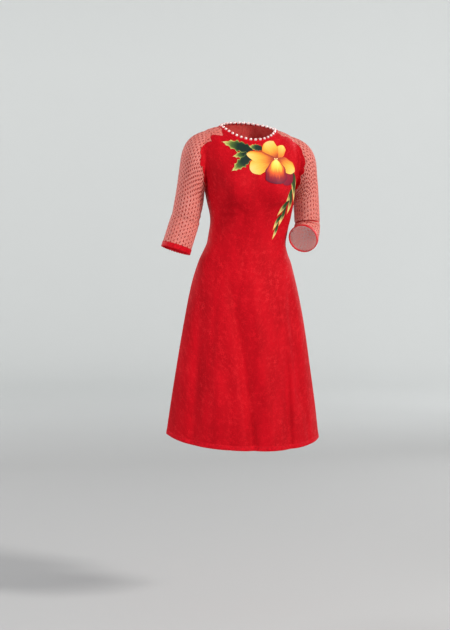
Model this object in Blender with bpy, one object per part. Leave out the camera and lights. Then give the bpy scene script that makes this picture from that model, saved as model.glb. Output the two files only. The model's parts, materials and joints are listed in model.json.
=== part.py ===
"""Ao dai tunic with a short front, net sleeves and a pearl neckline, hollow and in its worn pose.

Metres, +Z up. The front faces -Y and +X is the wearer's left. The origin is the middle of the line
between the two high shoulder points, where the neck and shoulders hold the garment up.

Each piece of cloth is a closed wall. Its outer face follows the garment's surface, which is one
function of an angle around the body and a level: 0 at the neckline, 1 at the chest and 2 at the hem.
"""

import math

import bpy
import numpy as np

# ---- walls and seams ----
LACE_WALL = 0.0013
NET_WALL = 0.0010
CUFF_WALL = 0.0016
SEAM_GAP = 0.0003
SHARP_ANGLE = math.radians(50)
HEM_BAND = 0.013
HEM_RISE = 0.0005
HEM_RAMP = 0.07
HEM_CURVE_RIGHT = 2.5
HEM_CURVE_LEFT = 1.9

# ---- neckline ----
NECK_HALF_WIDTH = 0.081
NECK_Y = -0.006
NECK_FRONT_DEPTH = 0.066
NECK_BACK_DEPTH = 0.056
NECK_FRONT_DROP = 0.040
NECK_BACK_RISE = 0.014
NECK_CURVE = 1.5

# ---- body heights ----
CHEST_Z = -0.175
SLIT_Z = -0.312
FRONT_HEM_CENTRE_Z = -0.889
FRONT_HEM_CORNER_Z = -0.858
BACK_HEM_CENTRE_Z = -0.880
BACK_HEM_CORNER_Z = -0.858

# The wearer's left side hangs a little lower than the right: metres down for each metre to the left.
TILT = 0.049

# ---- armholes ----
ARMHOLE_TOP_Z = -0.015
ARMHOLE_STEPS = 24
LACE_NECK_ANGLE = math.radians(69)
LACE_SCALLOPS = 2
LACE_NOTCH_FADE = 1.2
LEVEL_SEARCH_STEPS = 24
CHEST_STEP = 0.001
NORMAL_STEP = 0.0001

# ---- bust ----
BUST_RISE = 0.022
BUST_X = 0.068
BUST_Z = -0.186
BUST_SPREAD_X = 0.044
BUST_SPREAD_UP = 0.060
BUST_SPREAD_DOWN = 0.042
BUST_FADE = 0.065

# ---- folds, as shares of a fold's own length ----
FOLD_FADE_IN = 0.35
FOLD_FADE_OUT = 0.30

# ---- sleeves ----
CUFF_BAND = 0.0120
CUFF_RISE = 0.0004
APPLIQUE_LIFT = 0.0003
APPLIQUE_WALL = 0.0009

# ---- pearls on the neckline ----
PEARL_COUNT = 33
PEARL_RADIUS = 0.0038
PEARL_CORD_RADIUS = 0.0009
PEARL_SIDES = 6
PEARL_CLEARANCE = 0.0005

# ---- grid sizes ----
FRONT_COLUMNS = 24
BACK_COLUMNS = 10
SIDE_SEAM_ROWS = 6
FRONT_FLAP_ROWS = 13
BACK_FLAP_ROWS = 9
UPPER_ROWS = 13
CAP_ROWS = 8
ARM_ROW_HEIGHT = 0.020


def table(columns, *rows):
    """A dictionary that gives each named column as an array, the first one being the key."""
    return dict(zip(columns.split(), np.array(rows, float).T))


SECTION_COLUMNS = "z half_width edge_y centre_y wrap squareness"

FRONT = table(
    SECTION_COLUMNS,
    (-0.175, 0.1265, -0.006, -0.108, 90, 2.25),
    (-0.210, 0.1220, -0.006, -0.103, 90, 2.20),
    (-0.245, 0.1150, -0.007, -0.096, 90, 2.10),
    (-0.278, 0.1110, -0.007, -0.090, 90, 2.05),
    (-0.312, 0.1110, -0.007, -0.088, 90, 2.00),
    (-0.380, 0.1340, -0.018, -0.098, 86, 2.00),
    (-0.440, 0.1510, -0.031, -0.112, 81, 2.00),
    (-0.550, 0.1725, -0.048, -0.130, 76, 2.00),
    (-0.650, 0.1880, -0.057, -0.143, 74, 2.00),
    (-0.770, 0.2060, -0.063, -0.160, 72, 2.00),
    (-0.900, 0.2235, -0.066, -0.177, 70, 2.00),
)

BACK = table(
    SECTION_COLUMNS,
    (-0.175, 0.1265, -0.006, 0.096, 90, 2.25),
    (-0.210, 0.1220, -0.006, 0.090, 90, 2.20),
    (-0.245, 0.1150, -0.007, 0.077, 90, 2.10),
    (-0.278, 0.1110, -0.007, 0.066, 90, 2.05),
    (-0.312, 0.1110, -0.007, 0.062, 90, 2.00),
    (-0.380, 0.1230, 0.006, 0.079, 87, 2.00),
    (-0.440, 0.1350, 0.022, 0.097, 82, 2.00),
    (-0.550, 0.1500, 0.044, 0.114, 78, 2.00),
    (-0.650, 0.1620, 0.057, 0.127, 76, 2.00),
    (-0.770, 0.1760, 0.070, 0.143, 74, 2.00),
    (-0.900, 0.1900, 0.082, 0.158, 72, 2.00),
)

CENTRE = table(
    "z x",
    (0.030, 0.000),
    (-0.050, 0.001),
    (-0.120, 0.003),
    (-0.175, 0.004),
    (-0.210, 0.006),
    (-0.245, 0.0065),
    (-0.278, 0.003),
    (-0.312, -0.003),
    (-0.380, -0.010),
    (-0.440, -0.0145),
    (-0.550, -0.0185),
    (-0.650, -0.022),
    (-0.900, -0.027),
)

# One pearl and the cord before it: the radius at each share of the way to the next pearl.
PEARL_PROFILE = table(
    "place radius",
    (0.00, PEARL_CORD_RADIUS),
    (0.17, 0.78 * PEARL_RADIUS),
    (0.50, PEARL_RADIUS),
    (0.83, 0.78 * PEARL_RADIUS),
)

# How the cloth leaves the neckline and meets the chest, by how far it faces the front: 1 at the
# front centre, 0 at the side and -1 at the back centre.
YOKE = table(
    "facing slope neck_pull chest_pull",
    (1.00, 56, 0.045, 0.046),
    (0.82, 50, 0.050, 0.050),
    (0.42, 27, 0.090, 0.080),
    (0.00, 11, 0.104, 0.095),
    (-0.42, 24, 0.075, 0.078),
    (-0.82, 42, 0.050, 0.058),
    (-1.00, 48, 0.045, 0.056),
)

# Soft troughs in the cloth: each runs from one place to another on the panel, as x and z from the
# front, with its half breadth and its depth.
FRONT_FOLDS = table(
    "x0 z0 x1 z1 breadth depth",
    (-0.052, -0.465, -0.020, -0.870, 0.017, 0.0072),
    (-0.150, -0.520, -0.185, -0.860, 0.018, 0.0054),
    (0.105, -0.440, 0.125, -0.720, 0.015, 0.0058),
    (0.085, -0.640, 0.088, -0.870, 0.016, 0.0048),
    (-0.105, -0.640, -0.118, -0.870, 0.020, -0.0030),
    (0.030, -0.600, 0.036, -0.870, 0.022, -0.0035),
    (-0.112, -0.262, -0.040, -0.248, 0.007, 0.0020),
    (0.050, -0.400, 0.118, -0.345, 0.010, 0.0022),
)

BACK_FOLDS = table(
    "x0 z0 x1 z1 breadth depth",
    (-0.060, -0.460, -0.085, -0.870, 0.018, 0.0068),
    (0.045, -0.500, 0.040, -0.870, 0.018, 0.0055),
    (-0.130, -0.560, -0.160, -0.870, 0.017, 0.0046),
    (0.100, -0.520, 0.130, -0.870, 0.018, 0.0050),
    (-0.090, -0.285, -0.015, -0.262, 0.008, 0.0022),
    (0.085, -0.290, 0.015, -0.268, 0.008, 0.0022),
)


# The arm tube of each sleeve: the round ring under the armhole, the elbow's corner and two lines.
ARMS = {
    "right": dict(
        side=-1,
        spread=22,
        lace_meets=60,
        lace_notch=14,
        ring=(-0.1675, -0.004, -0.205),
        elbow=(-0.1760, -0.004, -0.250),
        forearm=(-0.315, -0.060, -0.947),
        length=0.0975,
        bend_radius=0.12,
        ring_half_width=0.0400,
        ring_half_depth=0.0440,
        elbow_half_width=0.0405,
        elbow_half_depth=0.0420,
        cuff_half_width=0.0415,
        cuff_half_depth=0.0395,
        bend_rows=3,
    ),
    "left": dict(
        side=1,
        spread=16,
        lace_meets=45,
        lace_notch=5,
        ring=(0.1680, -0.010, -0.205),
        elbow=(0.1730, -0.011, -0.299),
        forearm=(-0.460, -0.870, -0.178),
        length=0.063,
        bend_radius=0.050,
        ring_half_width=0.0355,
        ring_half_depth=0.0440,
        elbow_half_width=0.0375,
        elbow_half_depth=0.0385,
        cuff_half_width=0.0405,
        cuff_half_depth=0.0368,
        bend_rows=8,
    ),
}

# How the sleeve leaves the armhole, by the height around it: 1 at the shoulder, 0 at the front and
# the back, and -1 under the arm. It leaves outward, away from the arm's middle and down.
CAP = table(
    "height start_pull end_pull out away down",
    (1.0, 0.250, 0.355, 0.95, 0.00, 0.30),
    (0.5, 0.165, 0.240, 0.93, 0.24, 0.28),
    (0.0, 0.090, 0.140, 0.80, 0.34, 0.52),
    (-0.7, 0.050, 0.065, 0.48, 0.20, 0.86),
    (-1.0, 0.038, 0.038, 0.33, 0.00, 0.94),
)

# How far the front's lace laps onto the sleeve, by the degrees around the armhole: 0 is the
# shoulder, 90 the front.
LACE_LAP = table(
    "angle reach",
    (45, 0.006),
    (60, 0.012),
    (75, 0.022),
    (90, 0.026),
    (105, 0.017),
    (120, 0.019),
    (135, 0.014),
    (150, 0.006),
    (180, 0.004),
)
LAP_END = 150


# ---- curves ----
def smooth(columns, name, at):
    """A smooth curve through one column of a table, read at the key's values in `at`.

    It is level where the column turns, so it never goes past the values of its rows.
    """
    keys = next(iter(columns.values()))
    values = columns[name]
    if keys[0] > keys[-1]:
        keys = keys[::-1]
        values = values[::-1]
    steps = np.diff(keys)
    rises = np.diff(values) / steps
    slopes = np.append(rises, rises[-1])
    for k in range(1, len(steps)):
        before = 2 * steps[k] + steps[k - 1]
        after = steps[k] + 2 * steps[k - 1]
        if rises[k - 1] * rises[k] > 0:
            slopes[k] = (before + after) / (before / rises[k - 1] + after / rises[k])
        else:
            slopes[k] = 0.0
    at = np.clip(np.asarray(at, float), keys[0], keys[-1])
    first = np.clip(np.searchsorted(keys, at, side="right") - 1, 0, len(steps) - 1)
    step = steps[first]
    f = (at - keys[first]) / step
    return (
        (1 + 2 * f) * (1 - f) ** 2 * values[first]
        + f * (1 - f) ** 2 * step * slopes[first]
        + f * f * (3 - 2 * f) * values[first + 1]
        + f * f * (f - 1) * step * slopes[first + 1]
    )


def unit(vectors):
    return vectors / np.linalg.norm(vectors, axis=-1, keepdims=True)


def stack(x, y, z):
    return np.stack(np.broadcast_arrays(x, y, z), axis=-1)


# ---- the body's surface ----
def roundness(angle, squareness):
    """How far a section stands out at an angle, 1 at the front and the side."""
    ring = np.abs(np.sin(angle)) ** squareness + np.abs(np.cos(angle)) ** squareness
    return ring ** (-1 / squareness)


def section_point(half, angle, z):
    """x and y on the body's section at height z, at an angle away from the half's own centre."""
    wrap = np.radians(smooth(half, "wrap", z))
    squareness = smooth(half, "squareness", z)
    at_edge = roundness(wrap, squareness)
    here = roundness(angle, squareness)
    width = smooth(half, "half_width", z) / (np.sin(wrap) * at_edge)
    centre = smooth(half, "centre_y", z)
    depth = (smooth(half, "edge_y", z) - centre) / (1 - np.cos(wrap) * at_edge)
    return width * np.sin(angle) * here, centre + depth * (1 - np.cos(angle) * here)


def chest_point(angle, z):
    front_x, front_y = section_point(FRONT, angle, z)
    back_x, back_y = section_point(BACK, math.pi - angle, z)
    ahead = np.cos(angle) >= 0
    return stack(np.where(ahead, front_x, back_x), np.where(ahead, front_y, back_y), z)


def neck_point(angle):
    s = np.sin(angle)
    c = np.cos(angle)
    depth = np.where(c >= 0, NECK_FRONT_DEPTH, NECK_BACK_DEPTH)
    height = np.where(c >= 0, -NECK_FRONT_DROP, NECK_BACK_RISE) * np.abs(c) ** NECK_CURVE
    return stack(NECK_HALF_WIDTH * s, NECK_Y - depth * c, height)


def leaving_neck(angle):
    """The direction in which the cloth leaves the neckline."""
    slope = np.radians(smooth(YOKE, "slope", np.cos(angle)))
    out = np.cos(slope)
    return stack(out * np.sin(angle), -out * np.cos(angle), -np.sin(slope))


def yoke_point(angle, level):
    """A point between the neckline, level 0, and the chest, level 1, before the tilt."""
    facing = np.cos(angle)
    start = neck_point(angle)
    end = chest_point(angle, CHEST_Z)
    rising = unit(end - chest_point(angle, CHEST_Z - CHEST_STEP))
    near = start + smooth(YOKE, "neck_pull", facing)[..., None] * leaving_neck(angle)
    far = end + smooth(YOKE, "chest_pull", facing)[..., None] * rising
    f = np.asarray(level, float)[..., None]
    g = 1 - f
    return g**3 * start + 3 * g * g * f * near + 3 * g * f * f * far + f**3 * end


def bust(x, y, z):
    """How far the bust fills the cloth out, forward."""
    spread = np.where(z > BUST_Z, BUST_SPREAD_UP, BUST_SPREAD_DOWN)
    over = np.exp(-(((z - BUST_Z) / spread) ** 2))
    across = np.exp(-(((np.abs(x) - BUST_X) / BUST_SPREAD_X) ** 2))
    ahead = np.clip(-y / BUST_FADE, 0, 1)
    return BUST_RISE * over * across * ahead**2 * (3 - 2 * ahead)


def fold_depth(folds, x, z):
    """How deep the troughs are at a place seen from the front."""
    depth = np.zeros(np.broadcast(x, z).shape)
    for x0, z0, x1, z1, breadth, fold in zip(*folds.values()):
        run = math.hypot(x1 - x0, z1 - z0)
        along = ((x - x0) * (x1 - x0) + (z - z0) * (z1 - z0)) / run
        aside = ((x - x0) * (z1 - z0) - (z - z0) * (x1 - x0)) / run
        starts = np.clip(along / (FOLD_FADE_IN * run), 0, 1)
        stops = np.clip((1 + FOLD_FADE_OUT - along / run) / FOLD_FADE_OUT, 0, 1)
        ends = starts * stops
        depth += fold * ends**2 * (3 - 2 * ends) * np.exp(-((aside / breadth) ** 2))
    return depth


def body_point(half, angle, level, hem_z=FRONT_HEM_CENTRE_Z):
    """A point on the garment; angle is from the front centre, and hem_z is the hem's height there."""
    angle = np.asarray(angle, float)
    level = np.asarray(level, float)
    above = yoke_point(angle, np.clip(level, 0, 1))
    z = CHEST_Z + np.clip(level - 1, 0, None) * (hem_z - CHEST_Z)
    away = angle if half is FRONT else math.pi - angle
    x, y = section_point(half, away, z)
    points = np.where((level <= 1)[..., None], above, stack(x, y, z))
    x, y, z = np.moveaxis(points, -1, 0)
    y = y - bust(x, y, z)
    folds = FRONT_FOLDS if half is FRONT else BACK_FOLDS
    inward = 1.0 if half is FRONT else -1.0
    centre = smooth(CENTRE, "x", z)
    y = y + inward * fold_depth(folds, x + centre, z)
    return stack(x + centre, y, z - TILT * x)


def body_normal(half, angle, level, hem_z=FRONT_HEM_CENTRE_Z):
    """The direction out of the garment."""
    step = NORMAL_STEP
    across = body_point(half, angle + step, level, hem_z) - body_point(half, angle - step, level, hem_z)
    down = body_point(half, angle, level + step, hem_z) - body_point(half, angle, level, hem_z)
    return unit(np.cross(down, across))


# ---- seams ----
def level_at(angle, z):
    """The level above the chest where the surface, before its tilt, has height z."""
    low = np.zeros_like(angle)
    high = np.ones_like(angle)
    for _ in range(LEVEL_SEARCH_STEPS):
        middle = (low + high) / 2
        higher = yoke_point(angle, middle)[..., 2] > z
        low = np.where(higher, middle, low)
        high = np.where(higher, high, middle)
    return (low + high) / 2


def armhole_place(sizes, turn):
    """Angle and level of the armhole's edge; turn is 0 at the shoulder and 90 degrees at the front."""
    turn = np.asarray(turn, float)
    angle = math.pi / 2 - math.radians(sizes["spread"]) * np.sin(turn)
    middle = (ARMHOLE_TOP_Z + CHEST_Z) / 2
    half = (ARMHOLE_TOP_Z - CHEST_Z) / 2
    level = level_at(angle, middle + half * np.cos(turn))
    return angle, np.where(np.isclose(np.cos(turn), -1), 1.0, level)


def lace_edge_place(sizes, share, back=False):
    """Angle and level along the lace's scalloped edge, from the neckline to the armhole."""
    share = np.asarray(share, float)
    sign = -1 if back else 1
    angle, level = armhole_place(sizes, np.full_like(share, sign * math.radians(sizes["lace_meets"])))
    start = math.pi - LACE_NECK_ANGLE if back else LACE_NECK_ANGLE
    scallops = (LACE_NOTCH_FADE - share) * np.sin(LACE_SCALLOPS * math.pi * share) ** 2
    notch = math.radians(sizes["lace_notch"]) * scallops
    return start + (angle - start) * share - sign * notch, level * share


def lace_rows(sizes):
    """How many rows of a panel lie along the lace's edge; the others lie along the armhole."""
    armhole_rows = round((180 - sizes["lace_meets"]) * ARMHOLE_STEPS / 360)
    return UPPER_ROWS - armhole_rows


def upper_edge(sizes, back=False):
    """Angle and level of a panel's side edge at each row from the neckline to the underarm."""
    count = lace_rows(sizes)
    shares = np.arange(count) / count
    lace_angle, lace_level = lace_edge_place(sizes, shares, back)
    turns = np.radians(np.arange(sizes["lace_meets"], 181, 360 / ARMHOLE_STEPS))
    arm_angle, arm_level = armhole_place(sizes, -turns if back else turns)
    return np.append(lace_angle, arm_angle), np.append(lace_level, arm_level)


def armhole_seam(sizes):
    """Points around an armhole, with the way the sleeve leaves it and the two pieces lie apart."""
    side = sizes["side"]
    turns = 2 * math.pi * np.arange(ARMHOLE_STEPS) / ARMHOLE_STEPS
    angle, level = armhole_place(sizes, turns)
    ahead = (np.sin(turns) >= 0)[:, None]
    front = body_point(FRONT, side * angle, level)
    back = body_point(BACK, side * angle, level)
    points = np.where(ahead, front, back)
    normals = np.where(
        ahead, body_normal(FRONT, side * angle, level), body_normal(BACK, side * angle, level)
    )
    along = unit(np.roll(points, -1, axis=0) - np.roll(points, 1, axis=0))
    into_body = unit(np.cross(along, normals))
    sense = np.sign(((points - points.mean(axis=0)) * into_body).sum(axis=1, keepdims=True))
    into_body = into_body * sense
    height = np.cos(turns)
    away = smooth(CAP, "away", height) * np.sin(turns)
    leaving = unit(stack(side * smooth(CAP, "out", height), -away, -smooth(CAP, "down", height)))
    square_on = unit(leaving - along * (leaving * along).sum(axis=1, keepdims=True))
    apart = unit(into_body - square_on)
    shared = unit(np.cross(apart, along)) * sense
    return {
        "turns": turns,
        "points": points,
        "leaving": leaving,
        "apart": apart * SEAM_GAP / 2,
        "shared": shared,
    }


# ---- sleeves ----
def arm_frames(sizes):
    """Centres, outward and forward directions and half sizes of the arm tube's rings."""
    ring = np.array(sizes["ring"])
    elbow = np.array(sizes["elbow"])
    upper = unit(elbow - ring)
    fore = unit(np.array(sizes["forearm"]))
    bend = math.acos(float(upper @ fore))
    axis = unit(np.cross(upper, fore))
    reach = sizes["bend_radius"] * math.tan(bend / 2)
    pivot_way = unit(np.cross(axis, upper))
    arc_start = elbow - upper * reach
    pivot = arc_start + pivot_way * sizes["bend_radius"]
    out = np.array([sizes["side"], 0.0, 0.0])
    out = unit(out - upper * (out @ upper))
    front = np.array([0.0, -1.0, 0.0])
    front = unit(front - upper * (front @ upper) - out * (front @ out))

    def turned(vector, angle):
        c = math.cos(angle)
        s = math.sin(angle)
        return vector * c + np.cross(axis, vector) * s + axis * (axis @ vector) * (1 - c)

    upper_length = float(np.linalg.norm(arc_start - ring))
    upper_rows = round(upper_length / ARM_ROW_HEIGHT)
    places = [(ring + (arc_start - ring) * k / upper_rows, 0.0) for k in range(upper_rows)]
    for k in range(sizes["bend_rows"] + 1):
        angle = bend * k / sizes["bend_rows"]
        places.append((pivot + turned(-pivot_way * sizes["bend_radius"], angle), angle))
    last = sizes["length"] - reach - CUFF_BAND
    fore_rows = max(1, round(last / ARM_ROW_HEIGHT))
    for k in range(1, fore_rows + 1):
        places.append((elbow + fore * (reach + last * k / fore_rows), bend))
    return places, turned, out, front, bend, fore


def tube_ring(centre, out, front, half_width, half_depth, turns):
    c = np.cos(turns)[:, None]
    s = np.sin(turns)[:, None]
    return centre + out * half_width * c + front * half_depth * s


def sleeve_rings(sizes, seam):
    """The sleeve's outer face as rings of points, from the armhole to the cuff, and the cuff's own."""
    places, turned, out, front, bend, fore = arm_frames(sizes)
    turns = seam["turns"]
    count = len(places)
    tube = []
    for k, (centre, angle) in enumerate(places):
        share = np.clip(angle / bend, 0, 1)
        width = sizes["ring_half_width"] + (sizes["elbow_half_width"] - sizes["ring_half_width"]) * share
        depth = sizes["ring_half_depth"] + (sizes["elbow_half_depth"] - sizes["ring_half_depth"]) * share
        if angle >= bend:
            width = sizes["cuff_half_width"]
            depth = sizes["cuff_half_depth"]
        tube.append(tube_ring(centre, turned(out, angle), turned(front, angle), width, depth, turns))
    upper = unit(np.array(sizes["elbow"]) - np.array(sizes["ring"]))
    height = np.cos(turns)
    start = seam["points"] - seam["apart"]
    start_pull = seam["leaving"] * smooth(CAP, "start_pull", height)[:, None]
    end_pull = upper * smooth(CAP, "end_pull", height)[:, None]
    reach = smooth(LACE_LAP, "reach", np.degrees(np.arccos(np.clip(height, -1, 1))))
    lap = reach / smooth(CAP, "start_pull", height)
    cap = []
    for k in range(CAP_ROWS):
        f = cap_share(k, lap)[:, None]
        cap.append(
            (1 + 2 * f) * (1 - f) ** 2 * start
            + f * (1 - f) ** 2 * start_pull
            + f * f * (3 - 2 * f) * tube[0]
            + f * f * (f - 1) * end_pull
        )
    last = places[-1][0]
    cuff = []
    for along in (SEAM_GAP, CUFF_BAND / 2, CUFF_BAND):
        centre = last + fore * along
        width = sizes["cuff_half_width"] + CUFF_RISE
        depth = sizes["cuff_half_depth"] + CUFF_RISE
        cuff.append(tube_ring(centre, turned(out, bend), turned(front, bend), width, depth, turns))
    return np.array(cap + tube), np.array(cuff)


def cap_share(row, lap):
    """How far along the cap a row lies; the second row follows the edge of the lapped lace."""
    if row == 0:
        return lap * 0
    if row == 1:
        return lap * 0.5
    return lap + (1 - lap) * (row - 2) / (CAP_ROWS - 2)


def ring_normals(rings, side):
    """The direction out of a tube of rings."""
    around = np.roll(rings, -1, axis=1) - np.roll(rings, 1, axis=1)
    along = np.gradient(rings, axis=0)
    return side * unit(np.cross(around, along))


# ---- solids ----
def wall_object(name, outer, inner, material, closed_around=False):
    """A closed wall between two grids of points, rows by columns."""
    rows, columns = outer.shape[:2]
    count = rows * columns
    vertices = np.concatenate([outer.reshape(-1, 3), inner.reshape(-1, 3)])
    spans = columns if closed_around else columns - 1
    faces = []
    for r in range(rows - 1):
        for c in range(spans):
            a = r * columns + c
            b = r * columns + (c + 1) % columns
            d = a + columns
            e = b + columns
            faces.append((a, d, e, b))
            faces.append((a + count, b + count, e + count, d + count))
    rims = []
    for c in range(spans):
        b = (c + 1) % columns
        rims.append((c, b))
        rims.append(((rows - 1) * columns + b, (rows - 1) * columns + c))
    if not closed_around:
        for r in range(rows - 1):
            rims.append(((r + 1) * columns, r * columns))
            rims.append((r * columns + columns - 1, (r + 2) * columns - 1))
    for a, b in rims:
        faces.append((a, b, b + count, a + count))
    add_solid(name, vertices, faces, material)


def add_solid(name, vertices, faces, material):
    """One object from corner points and four-sided faces, turned so that its faces look outward."""
    mesh = bpy.data.meshes.new(name)
    mesh.from_pydata(vertices.tolist(), [], faces)
    if volume_of(vertices, faces) < 0:
        mesh.flip_normals()
    mesh.materials.append(material)
    mesh.shade_smooth()
    mesh.set_sharp_from_angle(angle=SHARP_ANGLE)
    bpy.context.scene.collection.objects.link(bpy.data.objects.new(name, mesh))


def volume_of(vertices, faces):
    total = 0.0
    for a, b, c, d in faces:
        total += np.dot(vertices[a], np.cross(vertices[b], vertices[c]))
        total += np.dot(vertices[a], np.cross(vertices[c], vertices[d]))
    return total / 6


def inset_column(points, column, neighbour):
    """Draws one column of a grid back from a seam."""
    points[:, column] += unit(points[:, neighbour] - points[:, column]) * SEAM_GAP / 2


def seam_rows(sizes, back):
    """The seam's own point number at each row of a panel that lies along the armhole."""
    step = 360 // ARMHOLE_STEPS
    turns = np.arange(sizes["lace_meets"], 181, step)
    if back:
        turns = (360 - turns) % 360
    return turns // step


def fit_to_armhole(outer, inner, column, sizes, seam, back, wall):
    """Gives a panel's side edge the armhole seam's points and its shared direction."""
    first = lace_rows(sizes)
    picked = seam_rows(sizes, back)
    rows = slice(first, first + len(picked))
    edge = seam["points"][picked] + seam["apart"][picked]
    neighbour = outer[rows, 1 if column == 0 else -2]
    shift = unit(neighbour - edge)
    moved = np.zeros(len(picked))
    moved[0] = SEAM_GAP / 2
    moved[-1] = SEAM_GAP / 2
    edge = edge + shift * moved[:, None]
    outer[rows, column] = edge
    inner[rows, column] = edge - seam["shared"][picked] * wall


def front_panel(seams, material):
    """The lace front: chest, waist and the flap down to the knee."""
    across = np.linspace(-1, 1, FRONT_COLUMNS + 1)
    right_angle, right_level = upper_edge(ARMS["right"])
    left_angle, left_level = upper_edge(ARMS["left"])
    blend = (across + 1) / 2
    upper_level = np.outer(right_level, 1 - blend) + np.outer(left_level, blend)
    upper_angle = np.where(across < 0, right_angle[:, None], left_angle[:, None]) * across
    hem = hem_height(across, FRONT_HEM_CENTRE_Z, FRONT_HEM_CORNER_Z)
    seam_z, flap_share = lower_rows(FRONT_FLAP_ROWS, FRONT_HEM_CENTRE_Z)
    heights = panel_heights(seam_z, flap_share, hem)
    angle = across * np.radians(smooth(FRONT, "wrap", heights))
    level = 1 + (heights - CHEST_Z) / (hem - CHEST_Z)
    angle = np.concatenate([upper_angle, angle])
    level = np.concatenate([upper_level, level])
    outer, inner = lace_wall(FRONT, angle, level, hem)
    inset_upto = len(upper_angle) + len(seam_z)
    inset_column(outer[:inset_upto], 0, 1)
    inset_column(outer[:inset_upto], -1, -2)
    inset_column(inner[:inset_upto], 0, 1)
    inset_column(inner[:inset_upto], -1, -2)
    fit_to_armhole(outer, inner, 0, ARMS["right"], seams["right"], False, LACE_WALL)
    fit_to_armhole(outer, inner, -1, ARMS["left"], seams["left"], False, LACE_WALL)
    wall_object("front_panel", outer, inner, material)


def back_panel(name, seam, material):
    """One half of the back, from the centre-back seam to the side seam and the slit."""
    sizes = ARMS[name]
    side = sizes["side"]
    across = np.linspace(0, 1, BACK_COLUMNS + 1)
    edge_angle, edge_level = upper_edge(sizes, back=True)
    upper_away = (math.pi - edge_angle)[:, None] * across
    upper_level = np.repeat(edge_level[:, None], len(across), axis=1)
    hem = hem_height(side * across, BACK_HEM_CENTRE_Z, BACK_HEM_CORNER_Z)
    seam_z, flap_share = lower_rows(BACK_FLAP_ROWS, BACK_HEM_CENTRE_Z)
    heights = panel_heights(seam_z, flap_share, hem)
    away = across * np.radians(smooth(BACK, "wrap", heights))
    level = 1 + (heights - CHEST_Z) / (hem - CHEST_Z)
    away = np.concatenate([upper_away, away])
    level = np.concatenate([upper_level, level])
    outer, inner = lace_wall(BACK, side * (math.pi - away), level, hem)
    inset_upto = len(upper_away) + len(seam_z)
    inset_column(outer[:inset_upto], -1, -2)
    inset_column(inner[:inset_upto], -1, -2)
    inset_column(outer, 0, 1)
    inset_column(inner, 0, 1)
    fit_to_armhole(outer, inner, -1, sizes, seam, True, LACE_WALL)
    wall_object("back_" + name, outer, inner, material)


def hem_height(across, centre, corner):
    """The height of a flap's rounded hem, at places from -1 on the wearer's right to 1 on the left."""
    curve = np.where(across < 0, HEM_CURVE_RIGHT, HEM_CURVE_LEFT)
    return centre + (corner - centre) * np.abs(across) ** curve


def lower_rows(flap_rows, hem_centre):
    """Heights of the rows along the side seam, then shares of the flap for those below the slit."""
    seam_z = np.linspace(CHEST_Z, SLIT_Z, SIDE_SEAM_ROWS + 1)[1:]
    band = HEM_BAND / (SLIT_Z - hem_centre)
    flap_share = np.linspace(0, 1 - band, flap_rows)[1:]
    return seam_z, np.append(flap_share, [1 - (1 - HEM_RAMP) * band, 1])


def panel_heights(seam_z, flap_share, hem):
    """Row heights below the chest, which bend from level at the slit to the hem's own curve."""
    level_rows = np.repeat(seam_z[:, None], len(hem), axis=1)
    flap = SLIT_Z + np.outer(flap_share, hem - SLIT_Z)
    return np.concatenate([level_rows, flap])


def lace_wall(half, angle, level, hem):
    """Outer and inner grids of a lace panel, with the turned hem standing a little proud."""
    hem_z = np.broadcast_to(hem, level.shape)
    points = body_point(half, angle, level, hem_z)
    normals = body_normal(half, angle, level, hem_z)
    outer = points.copy()
    outer[-2:] += normals[-2:] * HEM_RISE
    return outer, points - normals * LACE_WALL


def yoke(name, seam, material):
    """The net over the shoulder, between the neckline, the armhole and the lace's two edges."""
    sizes = ARMS[name]
    side = sizes["side"]
    meets = sizes["lace_meets"]
    count = lace_rows(sizes)
    spans = round(2 * meets * ARMHOLE_STEPS / 360)
    share = np.linspace(0, 1, count + 1)[:, None]
    across = np.linspace(0, 1, spans + 1)[None, :]
    turns = np.radians(meets) * (1 - 2 * across)
    arm_angle, arm_level = armhole_place(sizes, turns)
    neck_angle = LACE_NECK_ANGLE + (math.pi - 2 * LACE_NECK_ANGLE) * across
    front_angle = lace_edge_place(sizes, share)[0]
    back_angle = lace_edge_place(sizes, share, back=True)[0]
    angle = neck_angle + (arm_angle - neck_angle) * share
    level = arm_level * share
    angle = angle + (front_angle - angle[:, :1]) * (1 - across) + (back_angle - angle[:, -1:]) * across
    ahead = across[..., None] <= 0.5
    points = np.where(
        ahead, body_point(FRONT, side * angle, level), body_point(BACK, side * angle, level)
    )
    normals = np.where(
        ahead, body_normal(FRONT, side * angle, level), body_normal(BACK, side * angle, level)
    )
    inner = points - normals * NET_WALL
    for grid in (points, inner):
        inset_column(grid, 0, 1)
        inset_column(grid, -1, -2)
    picked = (round(meets * ARMHOLE_STEPS / 360) - np.arange(spans + 1)) % ARMHOLE_STEPS
    edge = seam["points"][picked] + seam["apart"][picked]
    edge[0] += unit(edge[1] - edge[0]) * SEAM_GAP / 2
    edge[-1] += unit(edge[-2] - edge[-1]) * SEAM_GAP / 2
    points[-1] = edge
    inner[-1] = edge - seam["shared"][picked] * NET_WALL
    wall_object("yoke_" + name, points, inner, material)


def sleeve_and_cuff(name, seam, rings, cuff, net, cuff_lace):
    side = ARMS[name]["side"]
    normals = ring_normals(rings, side)
    normals[0] = seam["shared"]
    wall_object("sleeve_" + name, rings, rings - normals * NET_WALL, net, closed_around=True)
    cuff_normals = ring_normals(cuff, side)
    wall_object("cuff_" + name, cuff, cuff - cuff_normals * CUFF_WALL, cuff_lace, closed_around=True)
    return normals


def lapped_lace(name, seam, rings, normals, material):
    """The front's lace motifs that lap over the armhole seam onto the sleeve."""
    sizes = ARMS[name]
    step = 360 // ARMHOLE_STEPS
    picked = np.arange(sizes["lace_meets"] // step, LAP_END // step + 1)
    base = rings[:3][:, picked]
    out = normals[:3][:, picked]
    bottom = base + out * APPLIQUE_LIFT
    top = bottom + out * APPLIQUE_WALL
    wall_object("lace_lap_" + name, top, bottom, material)


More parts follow.
